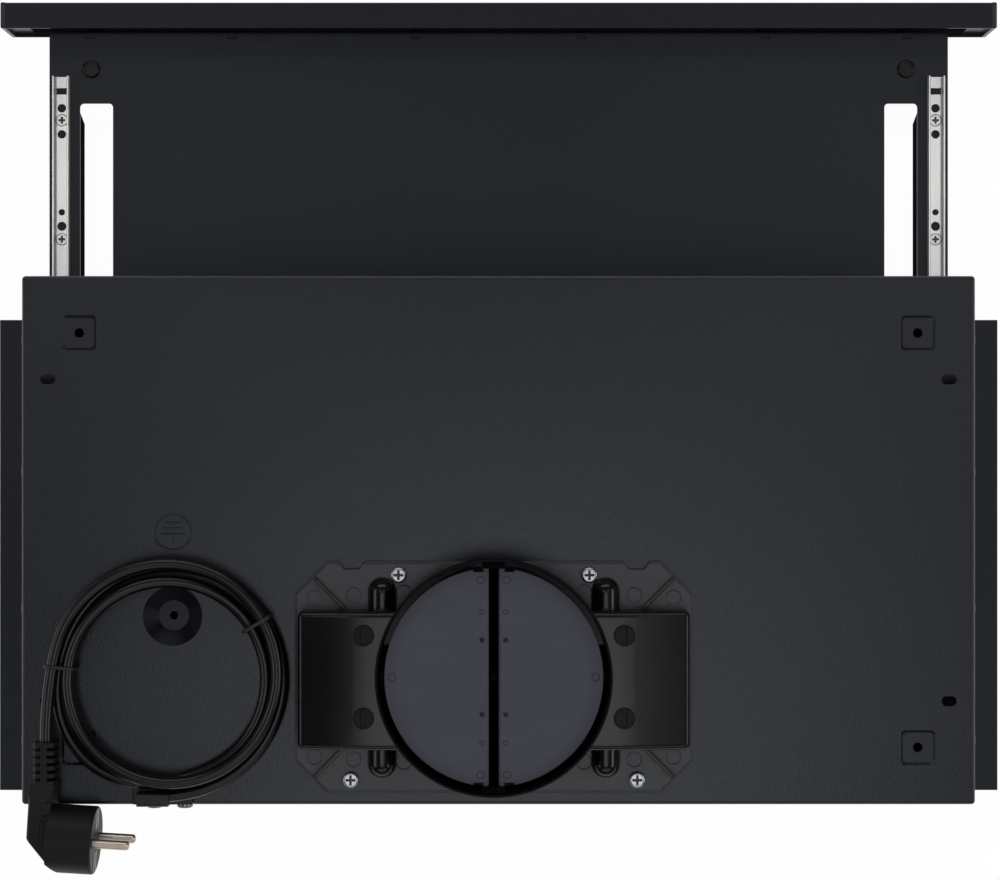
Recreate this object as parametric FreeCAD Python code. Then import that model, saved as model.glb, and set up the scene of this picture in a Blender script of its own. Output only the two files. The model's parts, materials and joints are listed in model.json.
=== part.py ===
"""Slide-out range hood, 60 cm class, drawer pulled out as at rest.

Millimetres. +Z is up, -Y is the front, where the bar is pulled, and +X is the
right-hand side of a person who faces the bar. The origin is under the middle
of the hood, on the surface that it stands on.
"""
import FreeCAD, Part
import math
import os

Vec = FreeCAD.Vector
UP = Vec(0, 0, 1)

# Driving dimensions of the casing
casing_depth = 279.4
casing_height = 180.0
sheet = 1.0
bend_radius = 2.0
top_flange = 14.0
wall_flange = 12.0
filter_ledge = 12.0

# Driving dimensions of the drawer and its front bar
bar_width = 598.0
wing_reach = 47.0
bar_depth = 15.5
bar_height = 29.2
bar_wall = 1.2
bar_lift = 0.8
cap_thickness = 3.0
cap_spigot = 12.0
drawer_level = 15.0
drawer_travel = 159.0
closed_gap = 1.2
drawer_headroom = 4.5
drawer_footroom = 1.2
slot_setback = 43.0
slot_width = 20.0
slot_clearance = 1.8
slot_corner = 2.5
strip_width = 18.5
drawer_tuck = 50.0
slot_flange = 13.5
strip_lip = 6.0
foot_width = 8.5
foot_reach = 9.0
foot_shares = (0.2, 0.642, 0.982)
foot_groove = (5.6, 1.6, 0.8)
buffer_setback = 22.2
buffer_shift = 3.1
buffer_radius = 5.4
buffer_height = 2.0

# Driving dimensions of the wings and the telescopic slides
wing_sheet = 1.2
wing_setback = 14.8
wing_overhang = 17.2
wing_lip = 10.0
wing_front_lip = 3.5
wing_root = 15.0
rail_sheet = 1.0
rail_width = 9.7
rail_height = 5.6
rail_margin = 2.85
rail_setback = 27.1
rail_length = 252.7
rail_screws_at = (26.2, 98.3, 226.8)
rail_window = (6.8, 3.9, 8.65)
rail_holes = ((18.9, 2.6), (34.7, 2.6), (81.9, 1.95), (90.4, 2.75))
track_length = 262.0
track_foot_gap = 1.4
roof_gap = 6.2
ball_diameter = 3.0
ball_play = 0.15
balls_per_row = 6
cage_sheet = 0.8
cage_margin = 6.0

# Driving dimensions of the outlet
outlet_offset = 2.4
plate_width = 210.0
plate_depth = 122.0
plate_corner = 17.0
plate_thickness = 3.0
plate_step = (1.1, 1.2)
plate_inset = 6.7
plate_notch = (14.0, 7.6, 4.2)
plate_notch_share = 0.358
collar_diameter = 122.5
collar_wall = 1.2
collar_undercut = 0.8
neck_wall = 0.8
rim_gap = 0.6
seat_ledge = 1.4
collar_height = 30.0
collar_forward = 2.3
hump_depth = 72.0
hump_margin = 2.9
hump_rise = 19.6
hump_edge_rise = 15.5
hump_wall = 2.0
hump_round = 3.0
lobe_width = 14.7
lobe_length = 16.5
lobe_rise = 9.0
lobe_share = 0.28
outlet_screw_shares = (0.239, 0.359)
outlet_screw_inset = 7.1
mark_radius = 3.9
mark_depth = 0.3
mark_shares = ((0.45, 0.344), (0.352, 0.355), (0.226, 0.366))
plug_share = 0.298
plug_disc = 5.3
plug_from_collar = 4.45
plug_proud = 0.3
plug_slot = (2.2, 0.7)
flap_gap = 3.45
flap_trim = (6.5, 2.1)
flap_thickness = 1.6
flap_drop = 6.0
hinge_gap = 5.0
bridge_drop = 10.0
bridge_foot = 7.0
flap_barrel = 1.6
flap_pin = 1.2
flap_pin_length = 3.0
pin_clearance = 0.05
hinge_block = (11.9, 4.7, 12.0)
hinge_drop = 3.0

# Driving dimensions of the blower
wheel_radius = 46.0
wheel_width = 45.0
wheel_blades = 36
wheel_ring = 2.0
wheel_disc = 1.6
blade_thickness = 1.0
hub_length = 18.0
volute_clearance = 4.0
volute_step = 5.0
tongue_place = 13.0
scroll_wall = 1.5
scroll_width = 56.0
scroll_edge = 9.0
chute_from_collar = 36.0
blower_level = 100.0
inlet_radius = 38.0
motor_radius = 36.0
motor_gap = 2.0
can_wall = 1.5
shaft_radius = 4.0
bush_radius = 7.0
boss_radius = 10.0
boss_length = 5.0
bush_clearance = 0.04
air_gap = 0.6
stator_ring = 12.5
core_share = 0.6
bracket_drop = 6.0
capacitor_size = (38.0, 20.0, 28.0)
capacitor_inset = 78.5

# Driving dimensions of what is low in the casing: cross rail, filters, controls, lamps
cross_rail_setback = 4.0
cross_rail_depth = 40.0
cross_rail_level = 3.0
cross_rail_headroom = 3.0
filter_thickness = 9.0
filter_seat_gap = 0.3
filter_front_gap = 2.5
filter_side_gap = 1.2
filter_rear_gap = 1.5
filter_border = 14.0
filter_wall = 1.0
filter_mesh_thickness = 2.4
finger_slot = (44.0, 7.0)
clip_sheet = 0.5
clip_gap = 0.7
clip_width = 14.0
bezel = (116.0, 26.0, 1.2)
knob_cap = (12.0, 9.0, 1.2)
knob_stem = (5.0, 3.0)
knob_gap = 0.35
speed_travel = 24.0
light_travel = 9.0
speed_place = -26.0
light_place = 36.0
switch_margin = 4.0
lamp_inset = 66.5
lamp_radius = 15.0
lamp_rim = 3.0
lamp_rim_drop = 1.4
lens_thickness = 1.2

# Driving dimensions of the top panel's pressings and holes
recess_inset = (30.3, 30.1)
recess_side = 18.6
recess_depth = 1.5
recess_hole = 2.5
slot_inset = (14.0, 54.7)
fixing_slot = (8.0, 5.2)
dish_from_coil = (-0.022, -0.504)
dish_radius = 15.7
dish_floor = 8.0
dish_depth = 5.0
dish_hole = 2.1
earth_gap = 3.3
earth_radius = 10.0
earth_line = 0.9
earth_depth = 0.4

# Driving dimensions of the fasteners
rivet_radius = 1.6
rivet_head = 3.0
rivet_head_height = 1.0
rivet_tail = 2.3
rivet_tail_height = 1.2
hole_clearance = 0.05
screw_radius = 1.5
pan_head = 4.3
pan_head_height = 2.2
flat_head = 3.4
head_ring = (0.3, 0.3)

# Driving dimensions of the mains cord, its clamp and its plug
cord_diameter = 6.5
cord_play = 0.3
coil_plate_gap = 0.35
coil_side_gap = 12.75
coil_step_in = 9.0
coil_step_out = 11.6
coil_turns_grow = 0.69
coil_turns_in = 1.25
coil_turns_out = 0.975
coil_layer_gap = 0.5
tie_thickness = 1.0
tie_width = 1.9
tie_gap = 0.4
tie_turns = (0.336, 0.734)
plug_on_panel = 35.15
clamp_notch = (32.0, 9.5)
clamp_shift = 3.7
clamp_axis_inset = 5.7
clamp_screw_shift = (-11.2, 4.8)
clamp_saddle = 16.5
clamp_roof = 1.5
terminal_size = (56.0, 46.0, 26.0)
terminal_wall = 1.5
plug_radius = 17.7
plug_depth = 34.9
plug_back = 6.7
plug_axis = 50.0
plug_slope = (16.9, 0.8)
plug_spine = 21.0
plug_tilt = 3.5
plug_edge = 1.2
plug_dimples = ((-3.6, 8.5), (-2.4, 15.5))
grip_lines = (-3.9, -2.2, -0.5)
relief_length = 21.5
relief_width = 11.2
relief_height = 12.0
relief_ribs = 5
contact_radius = 2.4
contact_length = 19.0
contact_spacing = 19.0
earth_clip_width = 5.0
earth_clip_length = 10.5
earth_clip_depth = 4.0
earth_clip_wall = 0.8

# Places that follow from the driving dimensions
casing_width = bar_width - 2 * wing_reach
half_width = casing_width / 2
depth_open = bar_depth + closed_gap + drawer_travel + casing_depth + wing_overhang
bar_front = -depth_open / 2
drawer_front = bar_front + bar_depth
casing_front = drawer_front + drawer_travel + closed_gap
casing_rear = casing_front + casing_depth
casing_middle = (casing_front + casing_rear) / 2
wall_outer = half_width - sheet
wall_inner = wall_outer - sheet
front_inner = casing_front + 2 * sheet
rear_inner = casing_rear - 2 * sheet
roof = casing_height - sheet
wall_top = roof - (bend_radius - sheet)
side_inset = bend_radius

drawer_top = drawer_level + sheet
slot_front = drawer_front + slot_setback
strip_inner = half_width + slot_clearance
strip_outer = strip_inner + strip_width
slot_inner = strip_inner - slot_width
gap_top = drawer_top + drawer_headroom
gap_bottom = drawer_level - drawer_footroom
slit_length = slot_setback + 4 * sheet

rail_centre = strip_outer - rail_margin - rail_width / 2
rail_front = drawer_front + rail_setback
rail_rear = rail_front + rail_length
rail_top = drawer_top + rail_height
track_gap = ball_diameter + 2 * ball_play
track_inner = rail_width / 2 + track_gap
track_roof = rail_top + roof_gap
wing_under = track_roof + rail_sheet
wing_top = wing_under + wing_sheet
wing_edge = bar_width / 2
wing_front = casing_front + wing_setback
wing_rear = casing_rear + wing_overhang
track_front = wing_front + wing_sheet + 2 * sheet
cage_front = track_front + cage_margin
cage_rear = rail_rear - cage_margin

plate_middle = casing_rear - plate_inset - plate_depth / 2
plate_top = casing_height + plate_thickness
collar_middle = plate_middle - collar_forward
collar_radius = collar_diameter / 2
collar_bore = collar_radius - collar_wall
collar_top = casing_height + collar_height
hump_outer = plate_width / 2 - hump_margin
hump_top = plate_top + hump_rise
rim_low = hump_top + rim_gap
collar_neck = collar_radius - collar_undercut
neck_bore = collar_neck - neck_wall
flap_radius = collar_bore - flap_gap
flap_top = collar_top - flap_drop
flap_axis_level = flap_top - flap_barrel
flap_axis = hinge_gap / 2 + flap_barrel

volute_start = wheel_radius + volute_clearance
chute_outer = volute_start + 3 * volute_step
blower_middle = collar_middle + chute_from_collar - chute_outer
scroll_inner = plate_width / 2 - scroll_edge - scroll_width
motor_length = 2 * (scroll_inner - boss_length - motor_gap)
core_length = core_share * motor_length
scroll_outer = scroll_inner + scroll_width
wheel_inner = scroll_inner + (scroll_width - wheel_width) / 2

cross_front = casing_front + cross_rail_setback
cross_rear = cross_front + cross_rail_depth
cross_top = drawer_level - cross_rail_headroom
filter_bottom = sheet + filter_seat_gap
filter_front = cross_rear + filter_front_gap
filter_rear = rear_inner - filter_rear_gap
filter_outer = wall_inner - filter_side_gap
filter_inner = filter_side_gap

tie_floor = casing_height + tie_thickness + tie_gap
coil_level = tie_floor + cord_diameter / 2
coil_rise = cord_diameter + coil_layer_gap
plate_edge = outlet_offset + plate_width / 2
coil_outer = (half_width - plate_edge - coil_plate_gap - coil_side_gap - cord_diameter) / 2
coil_x = plate_edge + coil_plate_gap + cord_diameter / 2 + coil_outer
coil_y = casing_rear - clamp_axis_inset - coil_outer
clamp_place = coil_x + clamp_shift


# Small helpers

def slab(x0, x1, y0, y1, z0, z1):
    return Part.makeBox(x1 - x0, y1 - y0, z1 - z0, Vec(x0, y0, z0))


def rod(radius, start, end):
    along = end - start
    return Part.makeCylinder(radius, along.Length, start, along)


def tube(outer, inner, start, end):
    return rod(outer, start, end).cut(rod(inner, start, end))


def prism(points, along):
    return Part.Face(Part.makePolygon(points + points[:1])).extrude(along)


def fuse(shapes):
    return shapes[0].multiFuse(shapes[1:]).removeSplitter() if len(shapes) > 1 else shapes[0]


def mirrored(shape, x=0.0):
    return shape.mirror(Vec(x, 0, 0), Vec(1, 0, 0))


def both_sides(shape, x=0.0):
    return [shape, mirrored(shape, x)]


def rounded(shape, radius, wanted):
    edges = [edge for edge in shape.Edges if wanted(edge.BoundBox)]
    return shape.makeFillet(radius, edges) if radius > 0.05 else shape


def stadium(length, width, centre, depth):
    """A slot cutter, long in X, that runs down from its centre point."""
    straight = (length - width) / 2
    ends = [rod(width / 2, centre + Vec(side, 0, 0), centre + Vec(side, 0, -depth))
            for side in (-straight, straight)]
    middle = slab(centre.x - straight, centre.x + straight, centre.y - width / 2,
                  centre.y + width / 2, centre.z - depth, centre.z)
    return fuse(ends + [middle])


def corners(inset):
    """Four points on the top panel, set in from its sides and from its front and rear edges."""
    reach_x, reach_y = half_width - inset[0], casing_depth / 2 - inset[1]
    return [Vec(sx * reach_x, casing_middle + sy * reach_y, casing_height)
            for sx in (-1, 1) for sy in (-1, 1)]


# Casing

def rivet_places():
    """Rivets of the right-hand side: a point on the outer skin, and how thick the pair of sheets is."""
    places = []
    for share in (0.12, 0.37, 0.63, 0.88):
        y = casing_front + share * casing_depth
        places.append((Vec(half_width, y, casing_height - top_flange / 2), 2 * sheet))
    for y in (casing_front + 2 * sheet + wall_flange / 2, casing_rear - 2 * sheet - wall_flange / 2):
        for share in (0.3, 0.55, 0.8):
            places.append((Vec(wall_outer, y, share * casing_height), 2 * sheet))
    for share in (0.2, 0.5, 0.75):
        y = casing_front + share * casing_depth
        places.append((Vec(wall_outer + wing_sheet, y, wing_top + wing_root / 2), sheet + wing_sheet))
    return places


def rivet_holes():
    reach = 3 * (sheet + wing_sheet)
    holes = []
    for place, grip in rivet_places():
        side = Vec(reach, 0, 0)
        hole = rod(rivet_radius + hole_clearance, place - side, place + side)
        holes += both_sides(hole)
    return Part.makeCompound(holes)


def casing_rivets():
    rivets = []
    for place, grip in rivet_places():
        head = rod(rivet_head, place, place + Vec(rivet_head_height, 0, 0))
        head = rounded(head, rivet_head_height * 0.6, lambda b: b.XMin > place.x + rivet_head_height / 2)
        shank = rod(rivet_radius, place - Vec(grip, 0, 0), place + Vec(rivet_head_height / 2, 0, 0))
        tail = rod(rivet_tail, place - Vec(grip + rivet_tail_height, 0, 0), place - Vec(grip, 0, 0))
        rivets += both_sides(fuse([head, shank, tail]))
    return Part.makeCompound(rivets)


def square_pressing(centre, half, depth, draft):
    """A four-sided pressing: its top side at the centre point, drawn in by draft at its floor."""
    def ring(side, z):
        block = slab(centre.x - side, centre.x + side, centre.y - side, centre.y + side, z, z + depth)
        block = rounded(block, side * 0.25, lambda b: b.ZLength > depth / 2)
        return min(block.Faces, key=lambda face: face.CenterOfMass.z).OuterWire
    return Part.makeLoft([ring(half, centre.z), ring(half - draft, centre.z - depth)], True, True)


def earth_mark():
    """The protective earth sign: a ring, a stem and three bars, sunk into the sheet."""
    x = coil_x + dish_from_coil[0] * coil_outer
    y = coil_y - coil_outer - earth_radius - earth_gap
    low = casing_height - earth_depth
    high = casing_height + sheet
    line = earth_line / 2
    ring = tube(earth_radius, earth_radius - earth_line, Vec(x, y, low), Vec(x, y, high))
    rows = ((0.12, 0.66), (-0.19, 0.51), (-0.49, 0.35))
    foot = y + rows[0][0] * earth_radius
    strokes = [slab(x - line, x + line, foot, foot + 0.45 * earth_radius, low, high)]
    for place, share in rows:
        bar, reach = y + place * earth_radius, share * earth_radius
        strokes.append(slab(x - reach, x + reach, bar - line, bar + line, low, high))
    return [ring, fuse(strokes)]


def cable_notch():
    """The opening in the rear edge that the cable clamp fills."""
    reach = clamp_notch[0] / 2
    return slab(clamp_place - reach, clamp_place + reach, casing_rear - clamp_notch[1],
                casing_rear + sheet, clamp_floor(), casing_height + sheet)


def clamp_floor():
    return roof - 7 * sheet


def chute_front():
    return blower_middle + tongue_place


def chute_rear():
    return blower_middle + chute_outer


def top_panel():
    floor = casing_height - top_flange
    body = slab(-half_width, half_width, casing_front, casing_rear, floor, casing_height)
    body = rounded(body, bend_radius, lambda b: b.ZMax > floor + bend_radius)
    hollow = slab(-wall_outer, wall_outer, casing_front + sheet, casing_rear - sheet, floor - sheet, roof)
    hollow = rounded(hollow, bend_radius - sheet, lambda b: b.ZMax > floor + bend_radius)
    panel = body.cut(hollow)

    skin = sheet * 0.7
    under = Vec(0, 0, sheet * 0.6)
    recesses = corners(recess_inset)
    dish = Vec(coil_x + dish_from_coil[0] * coil_outer, coil_y + dish_from_coil[1] * coil_outer,
               casing_height)
    bumps = [square_pressing(p - under, recess_side / 2 + skin, recess_depth + sheet / 2, recess_depth)
             for p in recesses]
    bumps.append(Part.makeCone(dish_radius + skin, dish_floor + skin, dish_depth + sheet / 2,
                               dish - under, -UP))
    panel = fuse([panel] + bumps)

    cuts = [square_pressing(p, recess_side / 2, recess_depth, recess_depth) for p in recesses]
    cuts.append(Part.makeCone(dish_radius, dish_floor, dish_depth, dish, -UP))
    deep = 4 * (sheet + dish_depth)
    cuts += [rod(recess_hole, p, p - UP * deep) for p in recesses]
    cuts.append(rod(dish_hole, dish, dish - UP * deep))
    cuts += [stadium(fixing_slot[0], fixing_slot[1], p, 2 * sheet) for p in corners(slot_inset)]
    chute = slab(outlet_offset + scroll_inner + scroll_wall, outlet_offset + scroll_outer - scroll_wall,
                 chute_front() + scroll_wall, chute_rear() - scroll_wall, floor, casing_height + sheet)
    cuts += both_sides(chute, outlet_offset)
    cuts += [rod(screw_radius, p + UP, p - UP * 2 * sheet) for p in outlet_screw_places(casing_height)]
    cuts += [cable_notch(), rivet_holes()] + earth_mark()
    return panel.cut(cuts)


def front_panel():
    wide = wall_inner
    y0, y1 = casing_front + sheet, front_inner
    face = slab(-wide, wide, y0, y1, gap_top, wall_top)
    foot = slab(-wide, wide, y0, y1 + wall_flange, gap_top, gap_top + sheet)
    edge = slab(wide - sheet, wide, y0, y1 + wall_flange, gap_top, wall_top)
    return fuse([face, foot] + both_sides(edge)).cut(rivet_holes())


def rear_panel():
    wide = wall_inner
    y0, y1 = rear_inner, casing_rear - sheet
    face = slab(-wide, wide, y0, y1, 0, wall_top)
    roll = sheet / 2
    edge_y = y0 - filter_ledge + roll
    ledge = fuse([slab(-wide, wide, edge_y, y1, 0, sheet),
                  rod(roll, Vec(-wide, edge_y, roll), Vec(wide, edge_y, roll))])
    lowest = filter_bottom + filter_ledge + filter_thickness
    edge = slab(wide - sheet, wide, y0 - wall_flange, y1, lowest, wall_top)
    return fuse([face, ledge] + both_sides(edge)).cut([cable_notch(), rivet_holes()])


def side_panel():
    panel = slab(wall_inner, wall_outer, casing_front + side_inset, casing_rear - side_inset, 0, wall_top)
    slit = slab(wall_inner - sheet, half_width, casing_front, casing_front + slit_length, gap_bottom, gap_top)
    return panel.cut([slit, rivet_holes()])


def wing():
    deck = slab(wall_outer, wing_edge, wing_front, wing_rear, wing_under, wing_top)
    root = slab(wall_outer, wall_outer + wing_sheet, wing_front, casing_rear - sheet,
                wing_under, wing_top + wing_root)
    lip = slab(wing_edge - wing_sheet, wing_edge, wing_front, wing_rear, wing_top - wing_lip, wing_top)
    front_lip = slab(wall_outer, wing_edge, wing_front, wing_front + wing_sheet,
                     wing_top - wing_front_lip, wing_top)
    return fuse([deck, root, lip, front_lip]).cut(rivet_holes())


# Outlet

def outlet_screw_places(z):
    front_x, rear_x = (share * plate_width for share in outlet_screw_shares)
    reach = plate_depth / 2 - outlet_screw_inset
    return [Vec(outlet_offset + side * x, plate_middle + y, z)
            for x, y in ((front_x, -reach), (rear_x, reach)) for side in (-1, 1)]


def plug_places():
    y = plug_share * hump_depth
    x = math.sqrt((collar_radius + plug_disc + plug_from_collar) ** 2 - y ** 2)
    start, radius = hump_crown(0)
    top = hump_top - radius + math.sqrt(radius ** 2 - (x - start) ** 2)
    return [Vec(outlet_offset + side * x, collar_middle + way * y, top)
            for side in (-1, 1) for way in (-1, 1)]


def hump_crown(inset):
    """Where a hump's top starts to fall, out from the collar's axis, and the radius of its arc."""
    start = collar_radius * 0.9
    reach, fall = hump_outer - inset - start, hump_rise - hump_edge_rise
    return start, (reach ** 2 + fall ** 2) / (2 * fall)


def hump(inset, floor):
    """The right-hand hump: its top falls in an arc from the collar to its rounded outer wall."""
    half = hump_depth / 2 - inset
    near, outer = collar_radius * 0.6, hump_outer - inset
    top, edge = hump_top - inset, plate_top + hump_edge_rise - inset
    start, radius = hump_crown(inset)
    lean = math.asin((outer - start) / radius) / 2
    middle = (start + radius * math.sin(lean), top - radius * (1 - math.cos(lean)))
    spots = [Vec(outlet_offset + x, plate_middle - half, z) for x, z in (
        (start, top), (near, top), (near, floor), (outer, floor), (outer, edge), middle)]
    sides = [Part.makeLine(a, b) for a, b in zip(spots[:4], spots[1:5])]
    sides.append(Part.Arc(spots[4], spots[5], spots[0]).toShape())
    block = Part.Face(Part.Wire(sides)).extrude(Vec(0, 2 * half, 0))
    beyond = outlet_offset + collar_radius
    return rounded(block, hump_round - inset,
                   lambda b: b.XMax > beyond + 1 and b.ZMax > edge - 1 and b.XMin > outlet_offset + near + 1)


def lobe(way):
    """A blunt bullet that runs out of the hump's long side."""
    radius = lobe_width / 2
    x, level = outlet_offset + lobe_share * plate_width, plate_top + lobe_rise - radius
    tip = Vec(x, plate_middle + way * (hump_depth / 2 + lobe_length - radius), level)
    back = Vec(x, plate_middle + way * (hump_depth / 2 - hump_wall), level)
    low, high = sorted((tip.y, back.y))
    return fuse([rod(radius, back, tip), Part.makeSphere(radius, tip),
                 rod(radius, Vec(x, tip.y, plate_top), tip),
                 slab(x - radius, x + radius, low, high, plate_top, level)]).common(
        slab(x - plate_width, x + plate_width, tip.y - plate_depth, tip.y + plate_depth, plate_top, hump_top))


def plate_layer(inset, thickness):
    """An eight-sided layer of the outlet plate, set in from its edge."""
    half_x, half_y = plate_width / 2 - inset, plate_depth / 2 - inset
    chamfer = plate_corner - inset * (2 - math.sqrt(2))
    outline = [(half_x, -half_y + chamfer), (half_x, half_y - chamfer), (half_x - chamfer, half_y),
               (-half_x + chamfer, half_y), (-half_x, half_y - chamfer), (-half_x, -half_y + chamfer),
               (-half_x + chamfer, -half_y), (half_x - chamfer, -half_y)]
    points = [Vec(outlet_offset + x, plate_middle + y, casing_height) for x, y in outline]
    return prism(points, UP * thickness)


def outlet_plate():
    half_x, half_y, chamfer = plate_width / 2, plate_depth / 2, plate_corner
    pieces = [plate_layer(0, plate_thickness - plate_step[1]), plate_layer(plate_step[0], plate_thickness)]
    pieces += both_sides(hump(0, plate_top), outlet_offset)
    for way in (-1, 1):
        pieces += both_sides(lobe(way), outlet_offset)
        corner_x, corner_y = half_x - 0.56 * chamfer - plate_step[0], half_y - 0.45 * chamfer - plate_step[0]
        rib_from = Vec(outlet_offset + corner_x, plate_middle + way * corner_y, plate_top)
        rib_to = rib_from + Vec(-chamfer, -way * chamfer, 0)
        across = Vec(0.2 * plate_thickness, -way * 0.2 * plate_thickness, 0)
        rib = prism([rib_from - across, rib_to - across, rib_to + across, rib_from + across],
                    UP * plate_thickness * 0.7)
        pieces += both_sides(rib, outlet_offset)
    shell = fuse(pieces)

    cuts = both_sides(hump(hump_wall, casing_height - sheet), outlet_offset)
    middle = Vec(outlet_offset, collar_middle, casing_height - sheet)
    cuts.append(rod(neck_bore - seat_ledge, middle, middle + UP * (hump_rise + 4 * plate_thickness)))
    seat = Vec(outlet_offset, collar_middle, plate_top)
    cuts.append(rod(collar_neck + hole_clearance, seat, seat + UP * (hump_rise + plate_thickness)))
    edge, (wide, narrow, deep) = plate_middle - half_y, plate_notch
    notch_x = outlet_offset + plate_notch_share * plate_width
    notch = [Vec(notch_x + x, edge + y, casing_height - 1) for x, y in (
        (-wide / 2, -1), (-wide / 2, 0), (-narrow / 2, deep),
        (narrow / 2, deep), (wide / 2, 0), (wide / 2, -1))]
    cuts += both_sides(prism(notch, UP * (plate_thickness + 2)), outlet_offset)
    for x, y in mark_shares:
        for way in (-1, 1):
            mark = Vec(outlet_offset + x * plate_width, plate_middle + way * y * plate_depth, plate_top)
            cuts += both_sides(rod(mark_radius, mark, mark - UP * mark_depth), outlet_offset)
    cuts += [rod(screw_radius + hole_clearance, p, p + UP * 2 * plate_thickness)
             for p in outlet_screw_places(casing_height - sheet)]
    cuts += [rod(plug_disc, p - UP * hump_rise / 2, p + UP * hump_rise) for p in plug_places()]
    return shell.cut(cuts)


def outlet_plugs():
    """Four slotted plugs that close the holes in the humps."""
    radius = plug_disc - hole_clearance
    wide, deep = plug_slot
    flush = fuse(both_sides(hump(-plug_proud, plate_top), outlet_offset))
    plugs = []
    for place in plug_places():
        body = rod(radius, place - UP * 3 * hump_wall, place + UP * hump_rise).common(flush)
        slot = slab(place.x - wide / 2, place.x + wide / 2, place.y - 0.8 * radius, place.y + 0.8 * radius,
                    place.z - deep, place.z + hump_rise)
        plugs.append(body.cut(slot))
    return Part.makeCompound(plugs)


def pan_screw(place, along, length):
    """A pan-head screw whose head sits on the point, with its shank along the given way."""
    head = rod(pan_head, place, place - along * pan_head_height)
    top = place - along * pan_head_height
    crown = min(head.Edges, key=lambda e: (e.BoundBox.Center - top).Length)
    head = head.makeFillet(pan_head_height * 0.6, [crown])
    long, slim, deep = pan_head * 1.2, pan_head * 0.28, pan_head_height * 0.5
    cross = [Part.makeBox(a, b, deep, Vec(-a / 2, -b / 2, -deep)) for a, b in ((long, slim), (slim, long))]
    turn = FreeCAD.Rotation(UP, along * -1)
    for cut in cross:
        cut.Placement = FreeCAD.Placement(top, turn).multiply(cut.Placement)
    shank = rod(screw_radius - hole_clearance, place - along * pan_head_height / 4, place + along * length)
    return fuse([head, shank]).cut(cross)


def outlet_screws():
    length = plate_thickness + 4 * sheet
    return Part.makeCompound([pan_screw(p, -UP, length) for p in outlet_screw_places(plate_top)])


def duct_collar():
    base = Vec(outlet_offset, collar_middle, plate_top)
    top = Vec(outlet_offset, collar_middle, collar_top)
    foot = Vec(outlet_offset, collar_middle, rim_low)
    neck_top = foot + UP * collar_wall
    ring = fuse([tube(collar_neck, neck_bore, base, neck_top), tube(collar_radius, collar_bore, foot, top)])
    keep = rod(collar_neck, base, top)
    wide, deep, tall = hinge_block
    pieces = [ring]
    for way in (-1, 1):
        face = collar_middle + way * (collar_radius - deep)
        rim = collar_middle + way * collar_radius
        block = slab(outlet_offset - wide / 2, outlet_offset + wide / 2, min(face, rim), max(face, rim),
                     collar_top - tall, collar_top - hinge_drop)
        pieces.append(block.common(keep))
    bridge_top = flap_axis_level - flap_barrel - bridge_drop
    ridge = [Vec(outlet_offset + x, collar_middle - collar_radius, z) for x, z in (
        (-bridge_foot / 2, plate_top), (bridge_foot / 2, plate_top), (0, bridge_top))]
    bridge = prism(ridge, Vec(0, 2 * collar_radius, 0))
    pieces.append(bridge.common(keep))
    post, reach = hinge_gap / 2 - 0.65 * flap_thickness, 0.4 * hinge_gap
    pieces.append(slab(outlet_offset - post, outlet_offset + post, collar_middle - reach,
                       collar_middle + reach, plate_top, flap_top - flap_barrel))
    stop_top = flap_top - flap_thickness - cord_play
    for side in (-1, 1):
        near = outlet_offset + side * (flap_radius - seat_ledge)
        far = outlet_offset + side * collar_radius
        stop = slab(min(near, far), max(near, far), collar_middle - hinge_gap / 2,
                    collar_middle + hinge_gap / 2, stop_top - 2 * flap_thickness, stop_top)
        pieces.append(stop.common(keep))
    collar = fuse(pieces)
    cuts = []
    for side in (-1, 1):
        for way in (-1, 1):
            inner = collar_middle + way * (collar_radius - deep - 1)
            end = collar_middle + way * (flap_seat() + flap_pin_length + 2 * hole_clearance)
            x = outlet_offset + side * flap_axis
            cuts.append(rod(flap_pin + pin_clearance, Vec(x, inner, flap_axis_level),
                            Vec(x, end, flap_axis_level)))
    window = hump_depth / 2 - 2 * hump_wall
    for side in (-1, 1):
        x0, x1 = sorted(outlet_offset + side * share * collar_radius for share in (0.6, 2))
        cuts.append(slab(x0, x1, plate_middle - window, plate_middle + window, plate_top - 1,
                         min(hump_top - 2 * hump_wall, stop_top - 4 * flap_thickness)))
    return collar.cut(cuts)


def flap_seat():
    """Where each flap's barrel ends, just short of the hinge block."""
    return collar_radius - hinge_block[1] - 6 * hole_clearance


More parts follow.
